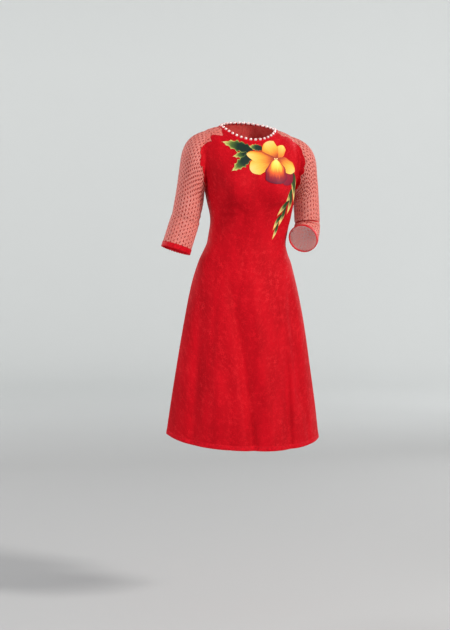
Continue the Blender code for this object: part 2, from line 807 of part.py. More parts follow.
def pearl_trim(material):
    """One string of pearls along the neckline."""
    places = PEARL_PROFILE["place"]
    along = np.concatenate([(k + places) / PEARL_COUNT for k in range(PEARL_COUNT)])
    radius = np.tile(PEARL_PROFILE["radius"], PEARL_COUNT)
    angle = even_neck_angles(along)
    edge = body_edge(angle)
    away = -unit(leaving_neck(angle))
    centres = edge + away * (PEARL_RADIUS + PEARL_CLEARANCE)
    tangent = unit(np.roll(centres, -1, axis=0) - np.roll(centres, 1, axis=0))
    side = unit(np.cross(tangent, away))
    rise = np.cross(side, tangent)
    turns = 2 * math.pi * np.arange(PEARL_SIDES) / PEARL_SIDES
    vertices = []
    for k in range(len(along)):
        for turn in turns:
            vertices.append(centres[k] + radius[k] * (math.cos(turn) * rise[k] + math.sin(turn) * side[k]))
    faces = []
    for k in range(len(along)):
        for s in range(PEARL_SIDES):
            a = k * PEARL_SIDES + s
            b = k * PEARL_SIDES + (s + 1) % PEARL_SIDES
            c = (k + 1) % len(along) * PEARL_SIDES + (s + 1) % PEARL_SIDES
            d = (k + 1) % len(along) * PEARL_SIDES + s
            faces.append((a, b, c, d))
    add_solid("pearl_trim", np.array(vertices), faces, material)


def body_edge(angle):
    """The neckline with the garment's tilt, at the middle of the wall."""
    points = neck_point(angle)
    x = points[..., 0]
    return stack(x + smooth(CENTRE, "x", points[..., 2]), points[..., 1], points[..., 2] - TILT * x)


def even_neck_angles(shares):
    """Angles around the neckline that are evenly spaced along it."""
    fine = np.linspace(0, 2 * math.pi, 721)
    wrapped = np.where(fine > math.pi, fine - 2 * math.pi, fine)
    steps = np.linalg.norm(np.diff(body_edge(wrapped), axis=0), axis=1)
    run = np.append(0, np.cumsum(steps))
    angle = np.interp(shares, run / run[-1], fine)
    return np.where(angle > math.pi, angle - 2 * math.pi, angle)


def fabric(name, colour, roughness):
    material = bpy.data.materials.new(name)
    material.use_nodes = True
    shader = material.node_tree.nodes["Principled BSDF"]
    shader.inputs["Base Color"].default_value = (*colour, 1.0)
    shader.inputs["Roughness"].default_value = roughness
    shader.inputs["Metallic"].default_value = 0.0
    return material


def main():
    for thing in list(bpy.data.objects):
        bpy.data.objects.remove(thing, do_unlink=True)
    lace = fabric("red_lace", (0.55, 0.0, 0.02), 0.65)
    net = fabric("red_net", (0.62, 0.10, 0.12), 0.80)
    cuff_lace = fabric("red_cuff", (0.60, 0.01, 0.03), 0.60)
    pearl = fabric("pearl", (0.90, 0.80, 0.78), 0.25)
    seams = {}
    sleeves = {}
    for name, sizes in ARMS.items():
        seam = armhole_seam(sizes)
        rings, cuff = sleeve_rings(sizes, seam)
        seams[name] = seam
        sleeves[name] = (rings, cuff)
    front_panel(seams, lace)
    for name, seam in seams.items():
        back_panel(name, seam, lace)
        yoke(name, seam, net)
        rings, cuff = sleeves[name]
        normals = sleeve_and_cuff(name, seam, rings, cuff, net, cuff_lace)
        lapped_lace(name, seam, rings, normals, lace)
    pearl_trim(pearl)


main()
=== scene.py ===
"""The looks of the ao dai tunic: lace, dotted net, pearls and the flower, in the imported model's frame.

Metres, +Z up. The front faces -Y and +X is the wearer's left. Every cloth is a thin shell on the form
of its solid. That form is one function of an angle around the body and a level: 0 at the neckline,
1 at the chest and 2 at the hem.
"""

import json
import math

import bpy
import numpy as np
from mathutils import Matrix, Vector
from mathutils.bvhtree import BVHTree

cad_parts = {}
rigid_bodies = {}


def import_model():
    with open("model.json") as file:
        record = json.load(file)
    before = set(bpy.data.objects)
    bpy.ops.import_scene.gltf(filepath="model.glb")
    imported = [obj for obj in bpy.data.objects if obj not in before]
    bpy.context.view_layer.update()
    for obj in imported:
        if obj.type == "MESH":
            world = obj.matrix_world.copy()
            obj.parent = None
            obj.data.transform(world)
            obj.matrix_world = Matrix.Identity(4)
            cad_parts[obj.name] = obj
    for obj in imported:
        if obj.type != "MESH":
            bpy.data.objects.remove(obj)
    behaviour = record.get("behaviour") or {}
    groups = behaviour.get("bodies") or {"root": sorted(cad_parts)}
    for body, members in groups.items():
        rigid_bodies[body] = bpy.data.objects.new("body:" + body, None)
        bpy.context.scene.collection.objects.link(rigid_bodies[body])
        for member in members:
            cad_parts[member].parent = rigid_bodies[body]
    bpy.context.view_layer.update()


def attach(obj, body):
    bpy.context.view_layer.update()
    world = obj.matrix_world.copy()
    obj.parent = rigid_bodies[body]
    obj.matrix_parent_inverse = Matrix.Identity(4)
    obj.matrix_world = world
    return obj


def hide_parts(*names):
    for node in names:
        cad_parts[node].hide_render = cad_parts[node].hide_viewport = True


# ---- cloth ----
LACE_THICK = 0.0007
NET_THICK = 0.0004
NET_UNDER = 0.0009
HEM_BAND = 0.013
HEM_RISE = 0.0005
HEM_CURVE_RIGHT = 2.5
HEM_CURVE_LEFT = 1.9
HEM_SHARES = np.array([0, 0.06, 0.3, 0.6, 0.85, 0.97, 1.0])
HEM_RISES = HEM_RISE * np.array([0.1, 0.9, 1.0, 1.0, 1.0, 0.7, 0.0])

# ---- neckline ----
NECK_HALF_WIDTH = 0.081
NECK_Y = -0.006
NECK_FRONT_DEPTH = 0.066
NECK_BACK_DEPTH = 0.056
NECK_FRONT_DROP = 0.040
NECK_BACK_RISE = 0.014
NECK_CURVE = 1.5

# ---- body heights ----
CHEST_Z = -0.175
SLIT_Z = -0.312
FRONT_HEM_CENTRE_Z = -0.889
FRONT_HEM_CORNER_Z = -0.858
BACK_HEM_CENTRE_Z = -0.880
BACK_HEM_CORNER_Z = -0.858
TILT = 0.049

# ---- armholes and the lace's top edge ----
ARMHOLE_TOP_Z = -0.015
LACE_NECK_ANGLE = math.radians(69)
LACE_SCALLOPS = 2
LACE_NOTCH_FADE = 1.2
LOBES = 4
LOBE_ANGLE = math.radians(2.4)
ARMHOLE_ROW_DEGREES = 15
UPPER_ROWS = 13
LEVEL_SEARCH_STEPS = 24
CHEST_STEP = 0.001
NORMAL_STEP = 0.0001

# ---- bust and folds ----
BUST_RISE = 0.022
BUST_X = 0.068
BUST_Z = -0.186
BUST_SPREAD_X = 0.044
BUST_SPREAD_UP = 0.060
BUST_SPREAD_DOWN = 0.042
BUST_FADE = 0.065
FOLD_FADE_IN = 0.35
FOLD_FADE_OUT = 0.30

# ---- cuffs and pearls ----
CUFF_BAND = 0.0120
CUFF_RISE = 0.0004
CUFF_THICK = 0.0014
CUFF_SHARES = (0.0, 0.04, 0.2, 0.5, 0.8, 0.96, 1.0)
CUFF_SWELLS = 0.0006 * np.array([0.0, 0.7, 1.0, 1.1, 1.0, 0.7, 0.0])
NECK_SAMPLES = 721
PEARL_COUNT = 33
PEARL_RADIUS = 0.0038
PEARL_CLEARANCE = 0.0005
PEARL_RINGS = 14
PEARL_SIDES = 20
PICOT_HEIGHT = 0.0062
PICOT_HALF = 0.0034
PICOT_THICK = 0.0008
PICOT_SINK = 0.0004
PICOT_PROFILE = ((0.0, 1.0), (0.35, 0.72), (0.7, 0.36), (1.0, 0.08))
PICOT_RING = ((-1, 0.25), (0, 1), (1, 0.25), (1, -0.25), (0, -1), (-1, -0.25))

# ---- sewing and small trim ----
# A strip's pair is half its width and half its height. A dome's three are half its length, half its
# width and its height, and its rings are shares of its size and height.
SEAM_DIP = 0.0006
JOIN_INSET = 0.0002
ARMHOLE_JOIN = (0.0010, 0.0005)
UNDERARM_JOIN = (0.0013, 0.0003)
CUFF_JOIN = (0.0009, 0.0004)
CUFF_JOIN_RISE = 0.0001
NECK_BINDING = (0.0019, 0.0009)
NECK_BINDING_DROP = 0.0014
PEARL_CORD = (0.0006, 0.0006)
DOME_RINGS = ((1.0, -0.15), (0.72, 0.75))
CUFF_LOOPS = 34
CUFF_LOOP = (0.0031, 0.0021, 0.0009)
CUFF_LOOP_SINK = 0.0002
CUFF_LOOP_PLACES = (-0.0004, CUFF_BAND - 0.0006)
STITCH_STEP = 0.0042
STITCH_HALF = 0.0013
STITCH = (STITCH_HALF, 0.0003, 0.00018)
STITCH_ROWS = (0.86, 0.16)
STITCH_SAMPLES = 400
DOT_STEP = 0.012
DOT_MARGIN = 0.004
DOT_COLUMN = 0.0088
DOT_STARTS = (0.25, 0.75)
DOT_ONWARD = 0.001
DOT = (0.0036, 0.0014, 0.00025)

# ---- laps of lace over the armholes: ends and fades in degrees, rises in metres ----
LAP_END = 150
LAP_FADE_IN = 3
LAP_FADE = 9
LAP_LOBES = 5
LAP_LOBE_DEPTH = 0.26
LAP_BACK = math.radians(5.0)
LAP_BACK_ROWS = (1.0, 0.75, 0.5, 0.25)
LAP_BACK_FALL = 0.65
LAP_RISES = (0.0011, 0.0003)
LAP_SETTLE = 8

# ---- the sleeves' creases: bow and fades as shares of the way down, and the net bunched in them ----
CREASE_BOW = 0.012
CREASE_BOW_TURN = 1.4
CREASE_FADE_IN = 0.12
CREASE_FADE_OUT = 0.06
BUNCH_DEPTH = 0.0016

# ---- weave ----
NET_PITCH = 0.0016
NET_THREAD_COVER = 0.55
NET_HAZE = 0.38
BUNCH_COVER = 0.90
BACK_SHIFT = 0.37
RIB_PITCH = 0.0011

# ---- colours ----
LACE_DARK = (0.34, 0.001, 0.006)
LACE_BODY = (0.60, 0.003, 0.012)
# The lace's painted highlight colour.
LACE_PAINTED_HIGHLIGHT = (0.76, 0.026, 0.034)
LACE_UNDER = (0.66, 0.085, 0.075)
DOT_UNDER = (0.68, 0.100, 0.090)
LACE_GLOSS = (1.0, 0.14, 0.12)
BAND_DARK = (0.42, 0.002, 0.009)
BAND_BRIGHT = (0.62, 0.004, 0.014)
NET_COLOUR = (0.90, 0.265, 0.215)
# The deep red of net bunched in the sleeves' creases: denser net, and darker still as painted shade in the
# creases.
BUNCHED_RED_AND_SHADE = (0.42, 0.012, 0.018)
DARK_THREAD = ((0.20, 0.002, 0.008), (0.34, 0.004, 0.012))
RED_THREAD = ((0.42, 0.003, 0.010), (0.60, 0.010, 0.018))
FLOCK = ((0.12, 0.003, 0.005), (0.22, 0.007, 0.009))
FLOCK_FIBRE = 1400.0
PEARL_ROSE = (0.74, 0.46, 0.45)
PEARL_PALE = (0.84, 0.66, 0.63)
# The floor's painted shade near the middle, and its paler tone out at the wall.
FLOOR_PAINTED_SHADE_NEAR = (0.42, 0.42, 0.42)
FLOOR_FAR = (0.80, 0.81, 0.80)

# ---- grids ----
FRONT_COLUMNS = 112
BACK_COLUMNS = 56
TOP_ROWS = 78
SEAM_ROWS = 24
FLAP_ROWS = 84
YOKE_ROWS = 40
YOKE_COLUMNS = 60
YOKE_UNDER = 0.08
YOKE_DOT_COLUMNS = 3
AROUND = 96
ARM_ROW = 0.0045
CAP_ROWS = 30
SETTLE_ROWS = 6
LAP_ROWS = 8
LAP_COLUMNS = 80
PETAL_ROWS = 22
PETAL_COLUMNS = 12
PRINT_LIFT = 0.00025
PRINT_STEP = 0.00012
PRINT_THICK = 0.0001

# ---- the view ----
PHOTO_SIZE = (450, 630)
FOCAL_PIXELS = 1596.7
CAMERA_AZIMUTH = math.radians(-12)
CAMERA_AWAY = 4.5
CAMERA_RISE = -0.31
CAMERA_RIGHT = -0.0629
CAMERA_PITCH = math.radians(2.74)

# ---- the stage ----
FLOOR_Z = -1.36
FLOOR_RADII = (3.0, 7.0)
FLOOR_CURVE = 2.5
FLOOR_CURVE_STEPS = 8
FLOOR_SIDES = 72
WALL_HEIGHT = 7.0
MIDDLE = (0.0, 0.0, -0.45)

# Each light has its place, what it points at, its width, its watts and its colour.
LIGHTS = {
    "key": ((2.4, -2.7, 1.6), MIDDLE, 0.8, 185, (1.0, 0.98, 0.95)),
    "fill": ((-3.2, -1.9, 0.3), MIDDLE, 1.8, 72, (0.97, 0.98, 1.0)),
    "wall_right": ((-3.0, 3.6, 1.4), (-2.5, 9.5, 0.6), 2.5, 86, (0.97, 0.99, 1.0)),
    "wall_left": ((3.0, 3.6, 1.4), (2.5, 9.5, 0.6), 2.5, 86, (0.97, 0.99, 1.0)),
    "back_right": ((-2.2, 2.6, 1.6), MIDDLE, 1.8, 62, (1.0, 1.0, 1.0)),
    "back_left": ((2.6, 2.4, 1.2), MIDDLE, 1.8, 62, (1.0, 1.0, 1.0)),
}

SKY_COLOUR = (0.95, 0.97, 1.0, 1.0)
SKY_STRENGTH = 0.26


def table(columns, *rows):
    """A dictionary that gives each named column as an array, the first one being the key."""
    return dict(zip(columns.split(), np.array(rows, float).T))


# Level sections of the body: half its width and its y at the panel's edge, its y in the middle, the
# degrees from the middle to that edge, and how square it is, 2 being an ellipse.
SECTION_COLUMNS = "z half_width edge_y centre_y wrap squareness"

FRONT = table(
    SECTION_COLUMNS,
    (-0.175, 0.1265, -0.006, -0.108, 90, 2.25),
    (-0.210, 0.1220, -0.006, -0.103, 90, 2.20),
    (-0.245, 0.1150, -0.007, -0.096, 90, 2.10),
    (-0.278, 0.1110, -0.007, -0.090, 90, 2.05),
    (-0.312, 0.1110, -0.007, -0.088, 90, 2.00),
    (-0.380, 0.1340, -0.018, -0.098, 86, 2.00),
    (-0.440, 0.1510, -0.031, -0.112, 81, 2.00),
    (-0.550, 0.1725, -0.048, -0.130, 76, 2.00),
    (-0.650, 0.1880, -0.057, -0.143, 74, 2.00),
    (-0.770, 0.2060, -0.063, -0.160, 72, 2.00),
    (-0.900, 0.2235, -0.066, -0.177, 70, 2.00),
)

BACK = table(
    SECTION_COLUMNS,
    (-0.175, 0.1265, -0.006, 0.096, 90, 2.25),
    (-0.210, 0.1220, -0.006, 0.090, 90, 2.20),
    (-0.245, 0.1150, -0.007, 0.077, 90, 2.10),
    (-0.278, 0.1110, -0.007, 0.066, 90, 2.05),
    (-0.312, 0.1110, -0.007, 0.062, 90, 2.00),
    (-0.380, 0.1230, 0.006, 0.079, 87, 2.00),
    (-0.440, 0.1350, 0.022, 0.097, 82, 2.00),
    (-0.550, 0.1500, 0.044, 0.114, 78, 2.00),
    (-0.650, 0.1620, 0.057, 0.127, 76, 2.00),
    (-0.770, 0.1760, 0.070, 0.143, 74, 2.00),
    (-0.900, 0.1900, 0.082, 0.158, 72, 2.00),
)

# How far to the side the body's middle lies, by height.
CENTRE = table(
    "z x",
    (0.030, 0.000),
    (-0.050, 0.001),
    (-0.120, 0.003),
    (-0.175, 0.004),
    (-0.210, 0.006),
    (-0.245, 0.0065),
    (-0.278, 0.003),
    (-0.312, -0.003),
    (-0.380, -0.010),
    (-0.440, -0.0145),
    (-0.550, -0.0185),
    (-0.650, -0.022),
    (-0.900, -0.027),
)

# The shoulders by the way they face, 1 in front and -1 behind: the degrees at which the cloth leaves
# the neckline, and how hard it is pulled on there and at the chest.
YOKE = table(
    "facing slope neck_pull chest_pull",
    (1.00, 56, 0.045, 0.046),
    (0.82, 50, 0.050, 0.050),
    (0.42, 27, 0.090, 0.080),
    (0.00, 11, 0.104, 0.095),
    (-0.42, 24, 0.075, 0.078),
    (-0.82, 42, 0.050, 0.058),
    (-1.00, 48, 0.045, 0.056),
)

# Soft troughs: each runs from one place to another on the panel, as x and z from the front, with its
# half breadth and its depth. A ridge has a depth below zero. The first rows are also in the solids.
FOLD_COLUMNS = "x0 z0 x1 z1 breadth depth"

FRONT_FOLDS = table(
    FOLD_COLUMNS,
    (-0.052, -0.465, -0.020, -0.870, 0.017, 0.0072),
    (-0.150, -0.520, -0.185, -0.860, 0.018, 0.0054),
    (0.105, -0.440, 0.125, -0.720, 0.015, 0.0058),
    (0.085, -0.640, 0.088, -0.870, 0.016, 0.0048),
    (-0.105, -0.640, -0.118, -0.870, 0.020, -0.0030),
    (0.030, -0.600, 0.036, -0.870, 0.022, -0.0035),
    (-0.112, -0.262, -0.040, -0.248, 0.007, 0.0020),
    (0.050, -0.400, 0.118, -0.345, 0.010, 0.0022),
    # Small creases: across the waist, under the bust, from the hips down and towards the hem.
    (-0.108, -0.286, -0.060, -0.270, 0.004, 0.0020),
    (-0.104, -0.238, -0.055, -0.222, 0.004, 0.0017),
    (-0.100, -0.306, -0.050, -0.300, 0.004, 0.0019),
    (0.104, -0.262, 0.056, -0.250, 0.004, 0.0019),
    (0.103, -0.290, 0.050, -0.284, 0.004, 0.0020),
    (-0.070, -0.222, -0.030, -0.240, 0.006, 0.0017),
    (0.030, -0.226, 0.078, -0.216, 0.006, 0.0017),
    (-0.020, -0.330, -0.062, -0.520, 0.007, 0.0024),
    (0.052, -0.380, 0.070, -0.560, 0.006, 0.0022),
    (-0.100, -0.420, -0.128, -0.640, 0.007, 0.0020),
    (0.012, -0.460, 0.010, -0.640, 0.008, 0.0020),
    (-0.075, -0.700, -0.086, -0.885, 0.006, 0.0024),
    (0.130, -0.700, 0.152, -0.870, 0.008, 0.0026),
    (0.160, -0.560, 0.182, -0.760, 0.007, -0.0022),
    (-0.020, -0.740, -0.006, -0.885, 0.007, -0.0020),
    (0.060, -0.760, 0.060, -0.885, 0.006, -0.0020),
    # The narrow middles of the long folds, and the rise beside them.
    (-0.080, -0.320, -0.021, -0.870, 0.014, 0.0066),
    (-0.146, -0.440, -0.180, -0.860, 0.013, 0.0048),
    (0.096, -0.380, 0.122, -0.720, 0.012, 0.0048),
    (0.084, -0.560, 0.090, -0.850, 0.009, 0.0060),
    (-0.012, -0.400, 0.022, -0.800, 0.016, -0.0052),
    (-0.100, -0.360, -0.118, -0.760, 0.017, -0.0042),
)

BACK_FOLDS = table(
    FOLD_COLUMNS,
    (-0.060, -0.460, -0.085, -0.870, 0.018, 0.0068),
    (0.045, -0.500, 0.040, -0.870, 0.018, 0.0055),
    (-0.130, -0.560, -0.160, -0.870, 0.017, 0.0046),
    (0.100, -0.520, 0.130, -0.870, 0.018, 0.0050),
    (-0.090, -0.285, -0.015, -0.262, 0.008, 0.0022),
    (0.085, -0.290, 0.015, -0.268, 0.008, 0.0022),
    # Small creases at the waist, between the shoulder blades and down the flap.
    (-0.104, -0.262, -0.045, -0.240, 0.004, 0.0020),
    (-0.106, -0.300, -0.050, -0.306, 0.004, 0.0020),
    (0.102, -0.252, 0.048, -0.236, 0.004, 0.0020),
    (0.104, -0.306, 0.052, -0.312, 0.004, 0.0019),
    (-0.092, -0.120, -0.050, -0.180, 0.006, 0.0020),
    (0.094, -0.122, 0.056, -0.186, 0.006, 0.0020),
    (-0.018, -0.360, -0.030, -0.560, 0.007, 0.0022),
    (0.070, -0.380, 0.086, -0.600, 0.007, 0.0022),
    (-0.104, -0.420, -0.124, -0.640, 0.007, 0.0020),
    (0.012, -0.640, 0.010, -0.880, 0.008, -0.0024),
    (-0.110, -0.680, -0.122, -0.880, 0.007, -0.0022),
    (0.075, -0.700, 0.086, -0.880, 0.006, 0.0022),
)

# The side is a sign, the forearm is a direction, and the armhole's spread and the lace's two are in
# degrees. The rest are metres: centres, the bend, half sizes, and the length from elbow to cuff's end.
ARMS = {
    "right": dict(
        side=-1,
        spread=22,
        lace_meets=60,
        lace_notch=14,
        ring=(-0.1675, -0.004, -0.205),
        elbow=(-0.1760, -0.004, -0.250),
        forearm=(-0.315, -0.060, -0.947),
        length=0.0975,
        bend_radius=0.12,
        ring_half_width=0.0400,
        ring_half_depth=0.0440,
        elbow_half_width=0.0405,
        elbow_half_depth=0.0420,
        cuff_half_width=0.0415,
        cuff_half_depth=0.0395,
    ),
    "left": dict(
        side=1,
        spread=16,
        lace_meets=45,
        lace_notch=5,
        ring=(0.1680, -0.010, -0.205),
        elbow=(0.1730, -0.011, -0.299),
        forearm=(-0.460, -0.870, -0.178),
        length=0.063,
        bend_radius=0.050,
        ring_half_width=0.0355,
        ring_half_depth=0.0440,
        elbow_half_width=0.0375,
        elbow_half_depth=0.0385,
        cuff_half_width=0.0405,
        cuff_half_depth=0.0368,
    ),
}

# A sleeve's cap by height, 1 at the shoulder and -1 under the arm: how hard the cloth is pulled on at
# both ends, and the way it leaves the armhole.
CAP = table(
    "height start_pull end_pull out away down",
    (1.0, 0.250, 0.355, 0.95, 0.00, 0.30),
    (0.5, 0.165, 0.240, 0.93, 0.24, 0.28),
    (0.0, 0.090, 0.140, 0.80, 0.34, 0.52),
    (-0.7, 0.050, 0.065, 0.48, 0.20, 0.86),
    (-1.0, 0.038, 0.038, 0.33, 0.00, 0.94),
)

# How far the lace reaches onto a sleeve, by degrees from the shoulder forwards around the armhole.
LACE_LAP = table(
    "angle reach",
    (45, 0.006),
    (60, 0.012),
    (75, 0.022),
    (90, 0.026),
    (105, 0.017),
    (120, 0.019),
    (135, 0.014),
    (150, 0.006),
    (180, 0.004),
)

# Creases of a sleeve: the degrees around it, 0 on the outside and 90 in front, then how far down it
# from the shoulder as a share, each with its own spread, and the depth.
CREASE_COLUMNS = "turn along turn_spread along_spread depth"

SLEEVE_CREASES = {
    "right": table(
        CREASE_COLUMNS,
        (150, 0.66, 55, 0.020, 0.0022),
        (120, 0.73, 50, 0.018, 0.0018),
        (200, 0.60, 45, 0.022, 0.0020),
        (60, 0.80, 40, 0.020, 0.0014),
        (20, 0.30, 30, 0.060, 0.0016),
        (110, 0.36, 26, 0.090, 0.0010),
        (250, 0.40, 24, 0.070, 0.0018),
        (300, 0.72, 40, 0.020, 0.0014),
        (90, 0.90, 60, 0.014, 0.0010),
    ),
    "left": table(
        CREASE_COLUMNS,
        (110, 0.655, 60, 0.016, 0.0030),
        (112, 0.724, 80, 0.022, 0.0058),
        (100, 0.800, 50, 0.022, 0.0034),
        (150, 0.590, 45, 0.020, 0.0020),
        (20, 0.30, 30, 0.060, 0.0015),
        (105, 0.34, 26, 0.090, 0.0010),
        (250, 0.36, 24, 0.070, 0.0018),
        (300, 0.62, 40, 0.030, 0.0014),
        (90, 0.90, 60, 0.014, 0.0010),
    ),
}


# ---- the printed flower: places from its heart, degrees from the wearer's left, and metres ----
FLOWER_X = 0.060
FLOWER_Z = -0.093
PETAL_KINDS = ("petals_yellow", "petals_dusk", "petals_rose", "petals_warm")
PETAL_TEETH = (0.13, 2.5)
LEAF_FORM = (0.8, 1.0, 0.004, 0.42, 5.5)
LEAF_RIM = 0.75
SPRAY_BEND = 0.007
SPRAY_RIM = 0.3
SPRAY_STEP = 0.01
SPRAY_LAYERS = 3
SPRAY_BASE = 0.7
SPRAY_TIP = 1.1
HEART_LOBE = (0.0065, 0.0022, 0.6, 0.5, 0.0)
HEART_TURNS = (40, 150, 265)
HEART_LIFT = 0.0014

# The shade darkens one side of a petal, and the rim darkens the whole of its edge.
PETALS = table(
    "turn length half_width base tip bend shade rim kind",
    (302, 0.080, 0.0260, 0.80, 0.42, 0.000, 0.0, 0.5, 2),
    (56, 0.049, 0.0150, 0.70, 0.48, 0.000, 0.5, 0.1, 3),
    (117, 0.055, 0.0260, 0.60, 0.36, -0.002, -0.6, 0.0, 0),
    (197, 0.083, 0.0245, 0.75, 0.44, 0.004, 0.4, 0.0, 0),
    (329, 0.066, 0.0225, 0.56, 0.58, 0.003, -0.5, 0.0, 0),
    (173, 0.086, 0.0170, 0.80, 0.60, -0.004, 0.8, 0.0, 0),
    (266, 0.068, 0.0345, 0.62, 0.33, 0.000, 0.0, 0.85, 1),
)

LEAVES = table(
    "x z turn length half_width",
    (-0.034, 0.030, 166, 0.044, 0.0120),
    (-0.064, 0.020, 188, 0.060, 0.0140),
    (-0.068, 0.012, 214, 0.076, 0.0175),
    (-0.064, 0.024, 160, 0.088, 0.0200),
)

SPRAY = table(
    "x z",
    (0.050, -0.030),
    (0.057, -0.058),
    (0.049, -0.088),
    (0.034, -0.118),
    (0.018, -0.151),
    (0.006, -0.185),
    (0.001, -0.214),
)

SPRAY_LEAVES = table(
    "share aside length half_width",
    (0.00, 6, 0.066, 0.0070),
    (0.05, -18, 0.062, 0.0062),
    (0.13, 3, 0.062, 0.0066),
    (0.24, -17, 0.062, 0.0060),
    (0.33, 19, 0.060, 0.0058),
    (0.44, -18, 0.056, 0.0054),
    (0.54, 14, 0.058, 0.0050),
    (0.66, -13, 0.052, 0.0044),
    (0.79, 6, 0.050, 0.0038),
)

# Each kind of print from the base of its petals to their tips: how far along, and the colour there.
PRINT_COLOURS = {
    "flower_leaves": (
        (0.0, (0.003, 0.010, 0.008)),
        (0.52, (0.005, 0.024, 0.014)),
        (0.72, (0.07, 0.13, 0.025)),
        (0.87, (0.46, 0.46, 0.11)),
        (1.0, (0.74, 0.60, 0.26)),
    ),
    "petals_yellow": (
        (0.0, (0.20, 0.012, 0.008)),
        (0.18, (0.46, 0.065, 0.010)),
        (0.38, (0.74, 0.23, 0.018)),
        (0.60, (0.80, 0.40, 0.045)),
        (0.82, (0.82, 0.51, 0.110)),
        (1.0, (0.80, 0.52, 0.18)),
    ),
    "petals_dusk": (
        (0.0, (0.92, 0.74, 0.18)),
        (0.34, (0.92, 0.52, 0.05)),
        (0.56, (0.72, 0.10, 0.012)),
        (0.76, (0.28, 0.010, 0.018)),
        (1.0, (0.11, 0.005, 0.026)),
    ),
    "petals_rose": (
        (0.0, (0.44, 0.035, 0.015)),
        (0.5, (0.30, 0.010, 0.022)),
        (1.0, (0.18, 0.005, 0.026)),
    ),
    "petals_warm": (
        (0.0, (0.30, 0.02, 0.01)),
        (0.4, (0.82, 0.22, 0.02)),
        (1.0, (0.93, 0.62, 0.12)),
    ),
    "flower_spray": (
        (0.0, (0.005, 0.020, 0.009)),
        (0.45, (0.025, 0.075, 0.020)),
        (0.72, (0.78, 0.62, 0.20)),
        (1.0, (0.80, 0.20, 0.05)),
    ),
    "flower_heart": (
        (0.0, (0.62, 0.20, 0.04)),
        (1.0, (0.88, 0.66, 0.34)),
    ),
}


# ---- curves ----
def hermite(f, start, leaving, end, arriving):
    """A share f of the way along a curve with the given ends and pulls."""
    g = 1 - f
    ends = (1 + 2 * f) * g * g * start + f * f * (3 - 2 * f) * end
    return ends + f * g * g * leaving - f * f * g * arriving


def smooth(columns, name, at):
    """A smooth curve through one column of a table, read at the key's values in `at`.

    It is level where the column turns, so it never goes past the values of its rows.
    """
    keys = next(iter(columns.values()))
    values = columns[name]
    if keys[0] > keys[-1]:
        keys = keys[::-1]
        values = values[::-1]
    steps = np.diff(keys)
    rises = np.diff(values) / steps
    slopes = np.append(rises, rises[-1])
    for k in range(1, len(steps)):
        before = 2 * steps[k] + steps[k - 1]
        after = steps[k] + 2 * steps[k - 1]
        if rises[k - 1] * rises[k] > 0:
            slopes[k] = (before + after) / (before / rises[k - 1] + after / rises[k])
        else:
            slopes[k] = 0.0
    at = np.clip(np.asarray(at, float), keys[0], keys[-1])
    first = np.clip(np.searchsorted(keys, at, side="right") - 1, 0, len(steps) - 1)
    step = steps[first]
    pulls = step * slopes[first], step * slopes[first + 1]
    return hermite((at - keys[first]) / step, values[first], pulls[0], values[first + 1], pulls[1])


def unit(vectors):
    return vectors / np.linalg.norm(vectors, axis=-1, keepdims=True)


def stack(x, y, z):
    return np.stack(np.broadcast_arrays(x, y, z), axis=-1)


def ease(share):
    share = np.clip(share, 0, 1)
    return share * share * (3 - 2 * share)


def path_run(path):
    """How far along a path each of its points lies."""
    return np.append(0, np.cumsum(np.linalg.norm(np.diff(path, axis=0), axis=-1)))


def along_path(path, run, at):
    return np.stack([np.interp(at, run, column) for column in path.T], axis=-1)


def joined(groups):
    """Several groups of arrays as one group, each array end to end with its fellows."""
    return [np.concatenate(parts) for parts in zip(*groups)]


# ---- the body's surface ----
def roundness(angle, squareness):
    """How far out a squarish oval's edge lies at an angle, a circle's being 1."""
    ring = np.abs(np.sin(angle)) ** squareness + np.abs(np.cos(angle)) ** squareness
    return ring ** (-1 / squareness)


def section_point(half, angle, z):
    """x and y on a panel's level section, at an angle from its middle."""
    wrap = np.radians(smooth(half, "wrap", z))
    squareness = smooth(half, "squareness", z)
    at_edge = roundness(wrap, squareness)
    here = roundness(angle, squareness)
    width = smooth(half, "half_width", z) / (np.sin(wrap) * at_edge)
    centre = smooth(half, "centre_y", z)
    depth = (smooth(half, "edge_y", z) - centre) / (1 - np.cos(wrap) * at_edge)
    return width * np.sin(angle) * here, centre + depth * (1 - np.cos(angle) * here)


def chest_point(angle, z):
    """A point on the body's section at a height, all the way around."""
    front_x, front_y = section_point(FRONT, angle, z)
    back_x, back_y = section_point(BACK, math.pi - angle, z)
    ahead = np.cos(angle) >= 0
    return stack(np.where(ahead, front_x, back_x), np.where(ahead, front_y, back_y), z)


def neck_point(angle):
    """A point on the neckline; angle is from the front centre."""
    s = np.sin(angle)
    c = np.cos(angle)
    depth = np.where(c >= 0, NECK_FRONT_DEPTH, NECK_BACK_DEPTH)
    height = np.where(c >= 0, -NECK_FRONT_DROP, NECK_BACK_RISE) * np.abs(c) ** NECK_CURVE
    return stack(NECK_HALF_WIDTH * s, NECK_Y - depth * c, height)


def leaving_neck(angle):
    """The way that the cloth leaves the neckline."""
    slope = np.radians(smooth(YOKE, "slope", np.cos(angle)))
    out = np.cos(slope)
    return stack(out * np.sin(angle), -out * np.cos(angle), -np.sin(slope))


def yoke_point(angle, level):
    """A point between the neckline, level 0, and the chest, level 1."""
    facing = np.cos(angle)
    start = neck_point(angle)
    end = chest_point(angle, CHEST_Z)
    rising = unit(end - chest_point(angle, CHEST_Z - CHEST_STEP))
    near = start + smooth(YOKE, "neck_pull", facing)[..., None] * leaving_neck(angle)
    far = end + smooth(YOKE, "chest_pull", facing)[..., None] * rising
    f = np.asarray(level, float)[..., None]
    g = 1 - f
    return g**3 * start + 3 * g * g * f * near + 3 * g * f * f * far + f**3 * end


def bust(x, y, z):
    """How far the bust pushes the cloth forwards."""
    spread = np.where(z > BUST_Z, BUST_SPREAD_UP, BUST_SPREAD_DOWN)
    over = np.exp(-(((z - BUST_Z) / spread) ** 2))
    across = np.exp(-(((np.abs(x) - BUST_X) / BUST_SPREAD_X) ** 2))
    return BUST_RISE * over * across * ease(-y / BUST_FADE)


